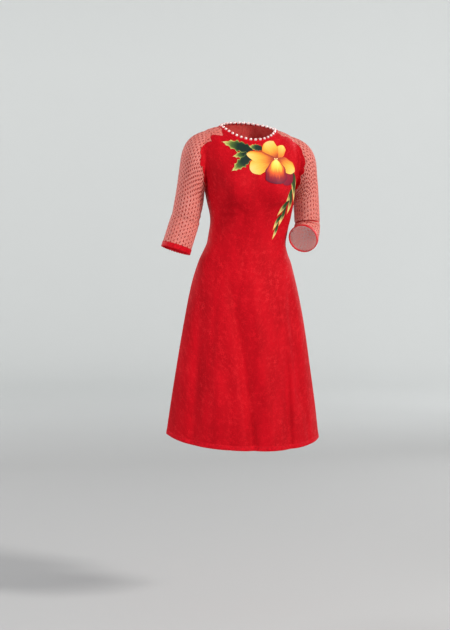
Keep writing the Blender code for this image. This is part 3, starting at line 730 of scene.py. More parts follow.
def fold_depth(folds, x, z):
    """How far in the folds lie at places on a panel."""
    depth = np.zeros(np.broadcast(x, z).shape)
    for x0, z0, x1, z1, breadth, fold in zip(*folds.values()):
        run = math.hypot(x1 - x0, z1 - z0)
        along = ((x - x0) * (x1 - x0) + (z - z0) * (z1 - z0)) / run
        aside = ((x - x0) * (z1 - z0) - (z - z0) * (x1 - x0)) / run
        starts = np.clip(along / (FOLD_FADE_IN * run), 0, 1)
        stops = np.clip((1 + FOLD_FADE_OUT - along / run) / FOLD_FADE_OUT, 0, 1)
        depth += fold * ease(starts * stops) * np.exp(-((aside / breadth) ** 2))
    return depth


def body_point(half, angle, level, hem_z=FRONT_HEM_CENTRE_Z):
    """A point on the garment; angle is from the front centre, and hem_z is the hem's height there."""
    angle = np.asarray(angle, float)
    level = np.asarray(level, float)
    above = yoke_point(angle, np.clip(level, 0, 1))
    z = CHEST_Z + np.clip(level - 1, 0, None) * (hem_z - CHEST_Z)
    away = angle if half is FRONT else math.pi - angle
    x, y = section_point(half, away, z)
    points = np.where((level <= 1)[..., None], above, stack(x, y, z))
    x, y, z = np.moveaxis(points, -1, 0)
    y = y - bust(x, y, z)
    folds = FRONT_FOLDS if half is FRONT else BACK_FOLDS
    inward = 1.0 if half is FRONT else -1.0
    centre = smooth(CENTRE, "x", z)
    y = y + inward * fold_depth(folds, x + centre, z)
    return stack(x + centre, y, z - TILT * x)


def body_normal(half, angle, level, hem_z=FRONT_HEM_CENTRE_Z):
    step = NORMAL_STEP
    across = body_point(half, angle + step, level, hem_z) - body_point(half, angle - step, level, hem_z)
    down = body_point(half, angle, level + step, hem_z) - body_point(half, angle, level, hem_z)
    return unit(np.cross(down, across))


# ---- seams ----
def level_at(angle, z):
    """The level at which the yoke has come down to a height, found by halving."""
    low = np.zeros_like(angle)
    high = np.ones_like(angle)
    for _ in range(LEVEL_SEARCH_STEPS):
        middle = (low + high) / 2
        higher = yoke_point(angle, middle)[..., 2] > z
        low = np.where(higher, middle, low)
        high = np.where(higher, high, middle)
    return (low + high) / 2


def armhole_place(sizes, turn):
    """Angle and level of the armhole's edge; turn is 0 at the shoulder and 90 degrees at the front."""
    turn = np.asarray(turn, float)
    angle = math.pi / 2 - math.radians(sizes["spread"]) * np.sin(turn)
    middle = (ARMHOLE_TOP_Z + CHEST_Z) / 2
    half = (ARMHOLE_TOP_Z - CHEST_Z) / 2
    level = level_at(angle, middle + half * np.cos(turn))
    return angle, np.where(np.isclose(np.cos(turn), -1), 1.0, level)


def lace_edge_place(sizes, share, back=False):
    """Angle and level along the lace's scalloped edge, from the neckline to the armhole."""
    share = np.asarray(share, float)
    sign = -1 if back else 1
    angle, level = armhole_place(sizes, np.full_like(share, sign * math.radians(sizes["lace_meets"])))
    start = math.pi - LACE_NECK_ANGLE if back else LACE_NECK_ANGLE
    scallops = (LACE_NOTCH_FADE - share) * np.sin(LACE_SCALLOPS * math.pi * share) ** 2
    notch = math.radians(sizes["lace_notch"]) * scallops
    return start + (angle - start) * share - sign * notch, level * share


def lace_share(sizes):
    """How much of a panel's top side edge is lace edge; the rest is armhole."""
    armhole_rows = round((180 - sizes["lace_meets"]) / ARMHOLE_ROW_DEGREES)
    return (UPPER_ROWS - armhole_rows) / UPPER_ROWS


def side_edge(sizes, at, back=False):
    """Angle and level down a panel's side edge; `at` runs from 0 at the neckline to 1 under the arm."""
    split = lace_share(sizes)
    lace_angle, lace_level = lace_edge_place(sizes, np.clip(at / split, 0, 1), back)
    lobes = LOBE_ANGLE * np.abs(np.sin(math.pi * LOBES * at / split)) * ease((1 - at / split) * 4)
    lace_angle = lace_angle + (lobes if not back else -lobes)
    meets = math.radians(sizes["lace_meets"])
    turn = meets + (math.pi - meets) * np.clip((at - split) / (1 - split), 0, 1)
    arm_angle, arm_level = armhole_place(sizes, -turn if back else turn)
    on_lace = at < split
    return np.where(on_lace, lace_angle, arm_angle), np.where(on_lace, lace_level, arm_level)


def armhole_seam(sizes, turns):
    """Points around an armhole, with the way the sleeve leaves it."""
    side = sizes["side"]
    angle, level = armhole_place(sizes, turns)
    ahead = (np.sin(turns) >= 0)[:, None]
    front = body_point(FRONT, side * angle, level)
    back = body_point(BACK, side * angle, level)
    height = np.cos(turns)
    away = smooth(CAP, "away", height) * np.sin(turns)
    leaving = unit(stack(side * smooth(CAP, "out", height), -away, -smooth(CAP, "down", height)))
    return np.where(ahead, front, back), leaving


# ---- sleeves ----
def arm_frames(sizes):
    """The arm tube's rings from under the armhole to the cuff, and the ways that they lie.

    Each ring has its centre, how far it is turned, and its share of the way down the forearm.
    """
    ring = np.array(sizes["ring"])
    elbow = np.array(sizes["elbow"])
    upper = unit(elbow - ring)
    fore = unit(np.array(sizes["forearm"]))
    bend = math.acos(float(upper @ fore))
    axis = unit(np.cross(upper, fore))
    reach = sizes["bend_radius"] * math.tan(bend / 2)
    pivot_way = unit(np.cross(axis, upper))
    arc_start = elbow - upper * reach
    pivot = arc_start + pivot_way * sizes["bend_radius"]
    out = np.array([sizes["side"], 0.0, 0.0])
    out = unit(out - upper * (out @ upper))
    front = np.array([0.0, -1.0, 0.0])
    front = unit(front - upper * (front @ upper) - out * (front @ out))

    def turned(vector, angle):
        c = math.cos(angle)
        s = math.sin(angle)
        return vector * c + np.cross(axis, vector) * s + axis * (axis @ vector) * (1 - c)

    last = sizes["length"] - reach - CUFF_BAND
    upper_length = float(np.linalg.norm(arc_start - ring))
    rows = []
    for k in range(round(upper_length / ARM_ROW)):
        rows.append((ring + upper * ARM_ROW * k, 0.0, 0.0))
    bend_rows = math.ceil(bend * (sizes["bend_radius"] + sizes["elbow_half_width"]) / ARM_ROW)
    for k in range(bend_rows + 1):
        angle = bend * k / bend_rows
        rows.append((pivot + turned(-pivot_way * sizes["bend_radius"], angle), angle, 0.0))
    fore_rows = math.ceil(last / ARM_ROW)
    for k in range(1, fore_rows + 1):
        rows.append((elbow + fore * (reach + last * k / fore_rows), bend, k / fore_rows))
    return rows, turned, out, front, bend, fore


def arm_size(sizes, way, share, end):
    """Half the tube's width or depth, at shares of the way round the elbow and from there to the cuff."""
    ring, elbow, cuff = (sizes[place + "_half_" + way] for place in ("ring", "elbow", "cuff"))
    upper = ring + (elbow - ring) * share
    return upper + (cuff - upper) * end


def sleeve_grid(name):
    """The sleeve's outer face as rings of points from the armhole to the cuff, and the cuff's frame."""
    sizes = ARMS[name]
    turns = math.pi + 2 * math.pi * np.arange(AROUND) / AROUND
    rows, turned, out, front, bend, fore = arm_frames(sizes)
    tube = []
    for centre, angle, along in rows:
        share = angle / bend
        end = ease(share * 4 - 3 + along)  # starts in the last quarter of the bend
        wide = turned(out, angle) * arm_size(sizes, "width", share, end)
        deep = turned(front, angle) * arm_size(sizes, "depth", share, end)
        tube.append(centre + wide * np.cos(turns)[:, None] + deep * np.sin(turns)[:, None])
    upper = unit(np.array(sizes["elbow"]) - np.array(sizes["ring"]))
    height = np.cos(turns)
    start, leaving = armhole_seam(sizes, turns)
    start_pull = leaving * smooth(CAP, "start_pull", height)[:, None]
    end_pull = upper * smooth(CAP, "end_pull", height)[:, None]
    cap = [hermite(k / CAP_ROWS, start, start_pull, tube[0], end_pull) for k in range(CAP_ROWS)]
    grid = np.array(cap + tube)
    creases = sleeve_creases(name, grid, turns)
    grid = grid - grid_normals(grid, True) * creases[..., None]
    cuff = {
        "centre": rows[-1][0],
        "fore": fore,
        "out": turned(out, bend),
        "front": turned(front, bend),
        "width": sizes["cuff_half_width"],
        "depth": sizes["cuff_half_depth"],
        "bunch_and_shade": ease((creases - BUNCH_DEPTH) / BUNCH_DEPTH),
    }
    return grid, cuff


def sleeve_creases(name, grid, turns):
    """How deep the sleeve's creases are at each point of its grid."""
    down = path_run(grid.mean(axis=1))
    along = down[:, None] / down[-1]
    depth = np.zeros(grid.shape[:2])
    for turn, at, turn_spread, along_spread, crease in zip(*SLEEVE_CREASES[name].values()):
        apart = np.degrees(np.angle(np.exp(1j * (turns - math.radians(turn)))))
        bowed = at + CREASE_BOW * np.cos(np.radians(apart * CREASE_BOW_TURN))
        depth += crease * np.exp(-((apart / turn_spread) ** 2) - ((along - bowed) / along_spread) ** 2)
    return depth * ease((1 - along) / CREASE_FADE_OUT) * ease(along / CREASE_FADE_IN)


# ---- meshes ----
def grid_normals(grid, closed):
    """The way out at each point of a grid of rows down the garment by columns around it."""
    down = np.gradient(grid, axis=0)
    if closed:
        across = np.roll(grid, -1, axis=1) - np.roll(grid, 1, axis=1)
    else:
        across = np.gradient(grid, axis=1)
    normals = unit(np.cross(down, across))
    middle = grid.mean(axis=1, keepdims=True)
    return normals * np.sign(((grid - middle) * normals).sum())


def cloth_uv(grid, closed):
    """The cloth's own coordinates in metres, across and down, one more column where it closes."""
    ring = np.concatenate([grid, grid[:, :1]], axis=1) if closed else grid
    across = np.linalg.norm(np.diff(ring, axis=1), axis=-1)
    u = np.concatenate([np.zeros((len(ring), 1)), np.cumsum(across, axis=1)], axis=1)
    u = u - u[:, -1:] / 2
    down = np.linalg.norm(np.diff(ring, axis=0), axis=-1)
    v = np.concatenate([np.zeros((1, ring.shape[1])), np.cumsum(down, axis=0)], axis=0)
    return np.stack([u, -v], axis=-1)


def shell(name, outer, inner, material, closed=False, moved=0.0):
    """A closed wall between two grids of points, as one smooth piece with the cloth's coordinates."""
    uv = cloth_uv(outer, closed) + moved
    piece = add_mesh(name, *wall(outer, inner, closed, uv), material)
    span = (outer.shape[0] - 1) * (outer.shape[1] - (0 if closed else 1))
    mark_under(piece, slice(span, 2 * span))
    return piece


def mark_under(piece, faces):
    """Mark the faces on the cloth's wrong side, for its material."""
    mesh = piece.data
    under = np.zeros(len(mesh.polygons), np.float32)
    under[faces] = 1
    mesh.attributes.new("under", "FLOAT", "FACE").data.foreach_set("value", under)


def patchwork(name, patches, material):
    """Several closed walls as one piece; each patch is its outer grid, inner grid and coordinates."""
    walls = []
    count = 0
    for outer, inner, uv in patches:
        points, faces, places = wall(outer, inner, False, uv)
        walls.append((points, faces + count, places))
        count += len(points)
    return add_mesh(name, *joined(walls), material)


def wall(outer, inner, closed, uv):
    """The points, faces and coordinates of a closed wall between two grids."""
    rows, columns = outer.shape[:2]
    count = rows * columns
    spans = columns if closed else columns - 1
    r, c = np.meshgrid(np.arange(rows - 1), np.arange(spans), indexing="ij")
    next_c = (c + 1) % columns
    a = r * columns + c
    b = r * columns + next_c
    face = np.stack([a, a + columns, b + columns, b], axis=-1).reshape(-1, 4)
    place = np.stack([uv[r, c], uv[r + 1, c], uv[r + 1, c + 1], uv[r, c + 1]], axis=-2).reshape(-1, 4, 2)
    faces = [face, face[:, ::-1] + count]
    places = [place, place[:, ::-1]]
    rims = [rim_faces(spans, 0, columns), rim_faces(spans, rows - 1, columns)[:, ::-1]]
    edge_uv = [uv[0, :spans], uv[rows - 1, :spans]]
    if not closed:
        down = np.arange(rows - 1)[:, None] * columns
        left = np.concatenate([down + columns, down], axis=1)
        right = left[:, ::-1] + columns - 1
        rims += [left, right]
        edge_uv += [uv[:-1, 0], uv[:-1, -1]]
    for rim, at in zip(rims, edge_uv):
        faces.append(np.concatenate([rim, rim[:, ::-1] + count], axis=1))
        places.append(np.repeat(at[:, None], 4, axis=1))
    points = np.concatenate([outer.reshape(-1, 3), inner.reshape(-1, 3)])
    return points, np.concatenate(faces), np.concatenate(places)


def rim_faces(spans, row, columns):
    """The edges along one row of a grid, as pairs of its points."""
    c = np.arange(spans)
    return np.stack([row * columns + c, row * columns + (c + 1) % columns], axis=1)


def add_mesh(name, points, faces, places, material, sharp=50):
    mesh = bpy.data.meshes.new(name)
    mesh.from_pydata(points.tolist(), [], [list(map(int, f)) for f in faces])
    if places is not None:
        layer = mesh.uv_layers.new(name="cloth")
        layer.data.foreach_set("uv", np.asarray(places, np.float32).ravel())
    corners = points[np.array([f[:3] for f in faces], int)]
    if np.linalg.det(corners).sum() < 0:
        mesh.flip_normals()
    mesh.materials.append(material)
    mesh.shade_smooth()
    mesh.set_sharp_from_angle(angle=math.radians(sharp))
    piece = bpy.data.objects.new(name, mesh)
    bpy.context.scene.collection.objects.link(piece)
    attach(piece, "root")
    return piece


def ring_faces(first, sides, rings):
    """Faces that join rings of points, each ring coming `sides` points after the one before."""
    faces = []
    for start in range(first, first + (rings - 1) * sides, sides):
        for s in range(sides):
            t = (s + 1) % sides
            faces.append((start + s, start + t, start + sides + t, start + sides + s))
    return faces


def cap_faces(first, sides, tip):
    """Faces that close a ring of points with one point."""
    return [(first + s, first + (s + 1) % sides, tip) for s in range(sides)]


def strip(name, path, lie, out, half_width, half_height, material, closed=False, sides=8):
    """A soft flat tube along a path: `lie` is the way across it and `out` the way out of the cloth."""
    turns = 2 * math.pi * np.arange(sides) / sides
    ring = (
        lie[:, None] * (np.cos(turns) * half_width)[None, :, None]
        + out[:, None] * (np.sin(turns) * half_height)[None, :, None]
    )
    points = (path[:, None] + ring).reshape(-1, 3)
    count = len(path)
    spans = count if closed else count - 1
    run = path_run(np.append(path, path[:1], axis=0))
    faces = []
    places = []
    for k in range(spans):
        ahead = (k + 1) % count
        for s in range(sides):
            t = (s + 1) % sides
            faces.append((k * sides + s, ahead * sides + s, ahead * sides + t, k * sides + t))
            low = s / sides * 2 * half_width
            high = (s + 1) / sides * 2 * half_width
            places += [(low, run[k]), (low, run[k + 1]), (high, run[k + 1]), (high, run[k])]
    if not closed:
        faces.append(tuple(range(sides)))
        faces.append(tuple(range((count - 1) * sides, count * sides))[::-1])
        places += [(0, 0)] * sides + [(0, run[-1])] * sides
    return add_mesh(name, points, faces, places, material)


def domes(name, centres, lengthways, out, half_length, half_width, height, material, sides=8):
    """Small raised ovals on a cloth, as one piece, each a low closed dome."""
    lengthways = unit(lengthways - out * (lengthways * out).sum(axis=-1, keepdims=True))
    sideways = np.cross(out, lengthways)
    turns = 2 * math.pi * np.arange(sides) / sides
    points = []
    faces = []
    for centre, along, across, up in zip(centres, lengthways, sideways, out):
        first = len(points)
        for scale, rise in DOME_RINGS:
            for turn in turns:
                aside = along * math.cos(turn) * half_length + across * math.sin(turn) * half_width
                points.append(centre + aside * scale + up * rise * height)
        points.append(centre + up * height)
        faces += ring_faces(first, sides, 2)
        faces += cap_faces(first + sides, sides, first + 2 * sides)
        faces.append(tuple(first + s for s in range(sides))[::-1])
    piece = add_mesh(name, np.array(points), faces, None, material, sharp=70)
    mark_under(piece, slice(2 * sides, None, 2 * sides + 1))
    return piece


# ---- the body's pieces ----
def hem_line(half, side=1):
    """A panel's hem: its half of the body and side, its places across, and how high it hangs there."""
    if half is FRONT:
        across = np.linspace(-1, 1, FRONT_COLUMNS + 1)
        centre, corner = FRONT_HEM_CENTRE_Z, FRONT_HEM_CORNER_Z
    else:
        across = np.linspace(0, 1, BACK_COLUMNS + 1)
        centre, corner = BACK_HEM_CENTRE_Z, BACK_HEM_CORNER_Z
    curve = np.where(side * across < 0, HEM_CURVE_RIGHT, HEM_CURVE_LEFT)
    height = centre + (corner - centre) * np.abs(across) ** curve
    band = HEM_BAND / (SLIT_Z - centre)
    return {"half": half, "side": side, "across": across, "height": height, "band": band}


def panel_angle(half, across, heights, side):
    wrapped = across * np.radians(smooth(half, "wrap", heights))
    return wrapped if half is FRONT else side * (math.pi - wrapped)


def lower_grid(hem, heights):
    """Points and normals of a panel below the chest, at heights for each of the hem's places."""
    half = hem["half"]
    angle = panel_angle(half, hem["across"], heights, hem["side"])
    level = 1 + (heights - CHEST_Z) / (hem["height"] - CHEST_Z)
    hem_z = np.broadcast_to(hem["height"], level.shape)
    return body_point(half, angle, level, hem_z), body_normal(half, angle, level, hem_z)


def flap_heights(hem, shares):
    """Heights at shares of the way from the slit's top to the hem."""
    return SLIT_Z + np.outer(shares, hem["height"] - SLIT_Z)


def panel_grid(hem, upper_angle, upper_level):
    """Points and normals of a panel from the neckline to the hem."""
    half = hem["half"]
    upper = body_point(half, upper_angle, upper_level), body_normal(half, upper_angle, upper_level)
    seam = np.linspace(CHEST_Z, SLIT_Z, SEAM_ROWS + 1)[1:, None] + 0 * hem["across"]
    flap = flap_heights(hem, np.linspace(0, 1, FLAP_ROWS + 1)[1:])
    return joined([upper, lower_grid(hem, np.concatenate([seam, flap]))])


def dip_seams(points, normals):
    """Draws the cloth in a little along its two side edges, down to the slit."""
    for column in (0, -1):
        points[: TOP_ROWS + SEAM_ROWS, column] -= normals[: TOP_ROWS + SEAM_ROWS, column] * SEAM_DIP


def front_cloth(hem, material):
    """The front in one piece, each side of it cut to its own armhole and slit."""
    across = hem["across"]
    at = np.linspace(0, 1, TOP_ROWS + 1)
    right_angle, right_level = side_edge(ARMS["right"], at)
    left_angle, left_level = side_edge(ARMS["left"], at)
    blend = (across + 1) / 2
    level = np.outer(right_level, 1 - blend) + np.outer(left_level, blend)
    angle = np.where(across < 0, right_angle[:, None], left_angle[:, None]) * across
    points, normals = panel_grid(hem, angle, level)
    dip_seams(points, normals)
    return shell("front_cloth", points, points - normals * LACE_THICK, material)


def back_cloth(name, hem, material):
    """One half of the back, from the centre-back seam to the side seam and the slit."""
    side = hem["side"]
    across = hem["across"]
    edge_angle, edge_level = side_edge(ARMS[name], np.linspace(0, 1, TOP_ROWS + 1), back=True)
    angle = side * (math.pi - (math.pi - edge_angle)[:, None] * across)
    level = np.repeat(edge_level[:, None], len(across), axis=1)
    points, normals = panel_grid(hem, angle, level)
    dip_seams(points, normals)
    points[TOP_ROWS + SEAM_ROWS :, 0] -= normals[TOP_ROWS + SEAM_ROWS :, 0] * SEAM_DIP
    inner = points - normals * LACE_THICK
    return shell("back_cloth_" + name, points, inner, material, moved=BACK_SHIFT * side)


def hem_band(name, hem, material):
    """The turned hem, a little proud of the lace on both faces and round at its edge."""
    points, normals = lower_grid(hem, flap_heights(hem, 1 - hem["band"] * (1 - HEM_SHARES)))
    rise = HEM_RISES[:, None, None]
    return shell(name, points + normals * rise, points - normals * (LACE_THICK + rise), material)


def hem_stitches(name, hem, material):
    """Two rows of short stitches that hold the turned hem."""
    fine = np.linspace(hem["across"][0], hem["across"][-1], STITCH_SAMPLES)
    finer = {**hem, "across": fine, "height": np.interp(fine, hem["across"], hem["height"])}
    rows = []
    for share in STITCH_ROWS:
        points, normals = lower_grid(finer, flap_heights(finer, [1 - hem["band"] * share]))
        rows.append(dashes(points[0] + normals[0] * HEM_RISE, normals[0]))
    return domes(name, *joined(rows), *STITCH, material, sides=6)


def dashes(path, normals):
    """Centres, directions and normals of stitches spaced evenly along a path."""
    run = path_run(path)
    at = np.arange(STITCH_STEP / 2, run[-1], STITCH_STEP)
    along = along_path(path, run, at + STITCH_HALF) - along_path(path, run, at - STITCH_HALF)
    return along_path(path, run, at), unit(along), unit(along_path(normals, run, at))


def yoke_net_grid(name):
    """Points and normals of the net over a shoulder; it runs on a little way under the lace."""
    sizes = ARMS[name]
    side = sizes["side"]
    meets = math.radians(sizes["lace_meets"])
    share = np.linspace(0, 1, YOKE_ROWS + 1)[:, None]
    across = np.linspace(-YOKE_UNDER, 1 + YOKE_UNDER, YOKE_COLUMNS + 1)[None, :]

    def straight(at):
        arm_angle, arm_level = armhole_place(sizes, meets * (1 - 2 * at))
        neck_angle = LACE_NECK_ANGLE + (math.pi - 2 * LACE_NECK_ANGLE) * at
        return neck_angle + (arm_angle - neck_angle) * share, arm_level * share

    angle, level = straight(across)
    first = straight(np.zeros((1, 1)))[0]
    last = straight(np.ones((1, 1)))[0]
    front_angle = lace_edge_place(sizes, share)[0]
    back_angle = lace_edge_place(sizes, share, back=True)[0]
    angle = angle + (front_angle - first) * (1 - across) + (back_angle - last) * across
    ahead = across[..., None] <= 0.5
    points = np.where(
        ahead, body_point(FRONT, side * angle, level), body_point(BACK, side * angle, level)
    )
    normals = np.where(
        ahead, body_normal(FRONT, side * angle, level), body_normal(BACK, side * angle, level)
    )
    return points - normals * NET_UNDER, normals


# ---- the printed flower ----
def petal_shape(length, half_width, base, tip, bend, teeth=0.0, tooth_count=0):
    """A petal or leaf in its own plane: places along and across it, and how far along each is."""
    t = (1 - np.cos(np.linspace(0, math.pi, PETAL_ROWS + 1)))[:, None] / 2
    s = np.linspace(-1, 1, PETAL_COLUMNS + 1)[None, :]
    peak = base / (base + tip)
    most = peak**base * (1 - peak) ** tip
    profile = np.maximum(t, 1e-9) ** base * np.maximum(1 - t, 1e-9) ** tip / most
    jag = 1 - teeth * np.abs(np.sin(math.pi * tooth_count * t + 0.6 * np.sign(s))) * np.abs(s)
    across = half_width * profile * s * jag + bend * t * t
    along = length * (t - 0.12 * teeth * np.abs(s) * t)
    return along, across, t + 0 * s, s + 0 * t


def print_patch(cloth, start, turn, shape, lift, rim=0.0, shade=0.0):
    """A petal laid on the front, turned in degrees, with its tone from base to tip as coordinates."""
    along, across, t, s = shape
    way = math.radians(turn)
    x = start[0] + along * math.cos(way) - across * math.sin(way)
    z = start[1] + along * math.sin(way) + across * math.cos(way)
    outer = np.zeros((*x.shape, 3))
    inner = np.zeros((*x.shape, 3))
    for place in np.ndindex(x.shape):
        hit, normal = cloth.ray_cast(Vector((x[place], -1.0, z[place])), Vector((0.0, 1.0, 0.0)))[:2]
        outer[place] = hit + normal * lift
        inner[place] = hit + normal * (lift - PRINT_THICK)
    side = np.maximum(-math.copysign(1, shade) * s, 0)
    tone = np.clip(t + rim * np.abs(s) ** 3 * (1 - t) - abs(shade) * side**2 * t, 0, 1)
    return outer, inner, np.stack([tone, s], axis=-1)


def leaf_patches(cloth):
    """Toothed leaves behind the bloom, each laid over those before it."""
    patches = []
    for number, (x, z, turn, length, half_width) in enumerate(zip(*LEAVES.values())):
        shape = petal_shape(length, half_width, *LEAF_FORM)
        lift = PRINT_LIFT + PRINT_STEP * number
        patches.append(print_patch(cloth, (FLOWER_X + x, FLOWER_Z + z), turn, shape, lift, LEAF_RIM))
    return patches


def petal_patches(cloth):
    """The petals by kind, each laid over those before it and over the leaves."""
    groups = {}
    for number, row in enumerate(zip(*PETALS.values()), len(LEAVES["x"])):
        turn, length, half_width, base, tip, bend, shade, rim, kind = row
        shape = petal_shape(length, half_width, base, tip, bend, *PETAL_TEETH)
        lift = PRINT_LIFT + PRINT_STEP * number
        patch = print_patch(cloth, (FLOWER_X, FLOWER_Z), turn, shape, lift, rim, shade)
        groups.setdefault(PETAL_KINDS[int(kind)], []).append(patch)
    return groups


def spray_patches(cloth):
    """Slim leaves to both sides of the spray's drooping stem."""
    stem = np.stack([FLOWER_X + SPRAY["x"], FLOWER_Z + SPRAY["z"]], axis=-1)
    run = path_run(stem)
    patches = []
    for number, (share, aside, length, half_width) in enumerate(zip(*SPRAY_LEAVES.values())):
        at = share * run[-1]
        behind, here, ahead = (along_path(stem, run, at + step) for step in (-SPRAY_STEP, 0, SPRAY_STEP))
        turn = math.degrees(math.atan2(ahead[1] - behind[1], ahead[0] - behind[0])) + aside
        bend = -SPRAY_BEND * math.copysign(1, aside)
        shape = petal_shape(length, half_width, SPRAY_BASE, SPRAY_TIP, bend)
        lift = PRINT_LIFT + PRINT_STEP * (number % SPRAY_LAYERS)
        patches.append(print_patch(cloth, here, turn, shape, lift, SPRAY_RIM))
    return patches


def heart_patches(cloth):
    """The three small lobes at the bloom's heart."""
    shape = petal_shape(*HEART_LOBE)
    return [print_patch(cloth, (FLOWER_X, FLOWER_Z), turn, shape, HEART_LIFT) for turn in HEART_TURNS]


def flower(front, ramps):
    """A bloom with toothed leaves and a drooping spray, laid out after the flower in the photo.

    Directions and sizes were read off the photo. Outlines come from the formula in petal_shape.
    """
    mesh = front.data
    cloth = BVHTree.FromPolygons([v.co for v in mesh.vertices], [tuple(f.vertices) for f in mesh.polygons])
    groups = {"flower_leaves": leaf_patches(cloth), **petal_patches(cloth)}
    groups["flower_spray"] = spray_patches(cloth)
    groups["flower_heart"] = heart_patches(cloth)
    return [patchwork(name, patches, ramps[name]) for name, patches in groups.items()]


# ---- sleeves' pieces ----
def on_grid(grid, row, turn_share):
    """Points of a closed grid between its own rows and columns; the share runs once around it."""
    rows, columns = grid.shape[:2]
    row = np.clip(row, 0, rows - 1 - 1e-9)
    column = np.asarray(turn_share) % 1 * columns
    r = row.astype(int)
    c = column.astype(int) % columns
    f = (row - r)[..., None]
    g = (column - np.floor(column))[..., None]
    d = (c + 1) % columns
    top = grid[r, c] * (1 - g) + grid[r, d] * g
    low = grid[r + 1, c] * (1 - g) + grid[r + 1, d] * g
    return top * (1 - f) + low * f


def sleeve_net(name, grid, normals, bunch_and_shade, material):
    """The sleeve, with how far its net is bunched together kept at each point; that also marks the painted
    shade in its creases.
    """
    piece = shell("sleeve_net_" + name, grid, grid - normals * NET_THICK, material, closed=True)
    layer = piece.data.attributes.new("bunch_and_shade", "FLOAT", "POINT")
    layer.data.foreach_set("value", np.tile(bunch_and_shade.ravel(), 2).astype(np.float32))
    return piece


def cuff_band(name, frame, material):
    """The narrow cuff as a soft rounded band."""
    outer = []
    inner = []
    for share, out in zip(CUFF_SHARES, CUFF_SWELLS):
        centre = frame["centre"] + frame["fore"] * (share * CUFF_BAND)
        outer.append(oval(frame, centre, CUFF_RISE + out))
        inner.append(oval(frame, centre, CUFF_RISE - CUFF_THICK))
    return shell("cuff_band_" + name, np.array(outer), np.array(inner), material, closed=True)


def oval(frame, centre, extra, count=AROUND):
    """A ring of points around the cuff, `extra` outside its size."""
    turns = math.pi + 2 * math.pi * np.arange(count) / count
    wide = frame["out"] * (frame["width"] + extra) * np.cos(turns)[:, None]
    deep = frame["front"] * (frame["depth"] + extra) * np.sin(turns)[:, None]
    return centre + wide + deep


def cuff_scallops(name, frame, material):
    """The small loops along both edges of the lace cuff."""
    edges = []
    for along in CUFF_LOOP_PLACES:
        middle = frame["centre"] + frame["fore"] * along
        centres = oval(frame, middle, CUFF_RISE - CUFF_LOOP_SINK, CUFF_LOOPS)
        out = unit(centres - middle)
        edges.append((centres, np.cross(out, frame["fore"]), out))
    return domes("cuff_loops_" + name, *joined(edges), *CUFF_LOOP, material)


def cuff_line(name, frame, material):
    """The dark join of net and cuff."""
    path = oval(frame, frame["centre"] + frame["fore"] * JOIN_INSET, CUFF_RISE + CUFF_JOIN_RISE)
    out = unit(path - frame["centre"])
    lie = np.broadcast_to(frame["fore"], path.shape)
    return strip("cuff_join_" + name, path, lie, out, *CUFF_JOIN, material, closed=True)


def armhole_join(name, grid, normals, material):
    """The seam of the sleeve, with its allowance turned in: the dark line around the armhole."""
    path = grid[0] - normals[0] * (NET_THICK + JOIN_INSET)
    lie = unit(grid[1] - grid[0])
    return strip("armhole_join_" + name, path, lie, normals[0], *ARMHOLE_JOIN, material, closed=True)


def underarm_join(name, grid, normals, material):
    """The sleeve's own seam, inside it and below the arm."""
    path = grid[:, 0] - normals[:, 0] * (NET_THICK + JOIN_INSET)
    down = unit(np.gradient(path, axis=0))
    lie = np.cross(down, normals[:, 0])
    return strip("underarm_join_" + name, path, lie, normals[:, 0], *UNDERARM_JOIN, material)


def lace_lap(name, grid, normals, material):
    """The front's lace motifs that lap over the armhole seam onto the sleeve, with lobed edges."""
    sizes = ARMS[name]
    degrees = np.linspace(sizes["lace_meets"], LAP_END, LAP_COLUMNS + 1)
    height = np.cos(np.radians(degrees))
    reach = smooth(LACE_LAP, "reach", degrees)
    past = degrees - degrees[0]
    waves = np.abs(np.sin(math.pi * LAP_LOBES * past / past[-1]))
    lobes = 1 - LAP_LOBE_DEPTH * (1 - waves)
    ends = ease((np.minimum(past, past[-1] - past) + LAP_FADE_IN) / LAP_FADE)
    far = reach * lobes * ends / smooth(CAP, "start_pull", height) * CAP_ROWS
    rows = np.linspace(0, 1, LAP_ROWS + 1)[:, None] * far
    share = (degrees - 180) / 360 + 0 * rows
    points = on_grid(grid, rows, share)
    out = unit(on_grid(normals, rows, share))
    angle, level = armhole_place(sizes, np.radians(degrees))
    layers = []
    for rise in LAP_RISES:
        rows_on_body = []
        for back in LAP_BACK_ROWS:
            at = sizes["side"] * (angle - LAP_BACK * back)
            lift = rise * (1 - LAP_BACK_FALL * back)
            rows_on_body.append(body_point(FRONT, at, level) + body_normal(FRONT, at, level) * lift)
        layer = np.concatenate([np.array(rows_on_body), points + out * rise])
        for _ in range(LAP_SETTLE):
            layer[1:-1] = (layer[:-2] + 2 * layer[1:-1] + layer[2:]) / 4
        layers.append(layer)
    return shell("lace_lap_on_" + name, *layers, material)


# ---- dots on the net ----
def dot_places(column, run):
    """How far along a column its dots lie; every second column starts half a step later."""
    return np.arange(DOT_STEP * DOT_STARTS[column % 2], run[-1] - DOT_MARGIN, DOT_STEP)


def yoke_dots(name, grid, normals, columns, material):
    """Dots in staggered columns up a yoke's net, none too close to another."""
    kept = []
    centres = []
    for number, column in enumerate(columns):
        path = grid[::-1, column]
        run = path_run(path)
        at = dot_places(number, run)
        at = at[at > DOT_MARGIN]
        ahead = along_path(path, run, at + DOT_ONWARD)
        out = unit(along_path(normals[::-1, column], run, at))
        for centre, onward, up in zip(along_path(path, run, at), ahead, out):
            if not kept or min(np.linalg.norm(np.array(centres) - centre, axis=1)) > DOT_COLUMN:
                centres.append(centre)
                kept.append((centre, unit(centre - onward), up))
    places = (np.array(part) for part in zip(*kept))
    return domes(name, *places, *DOT, material)


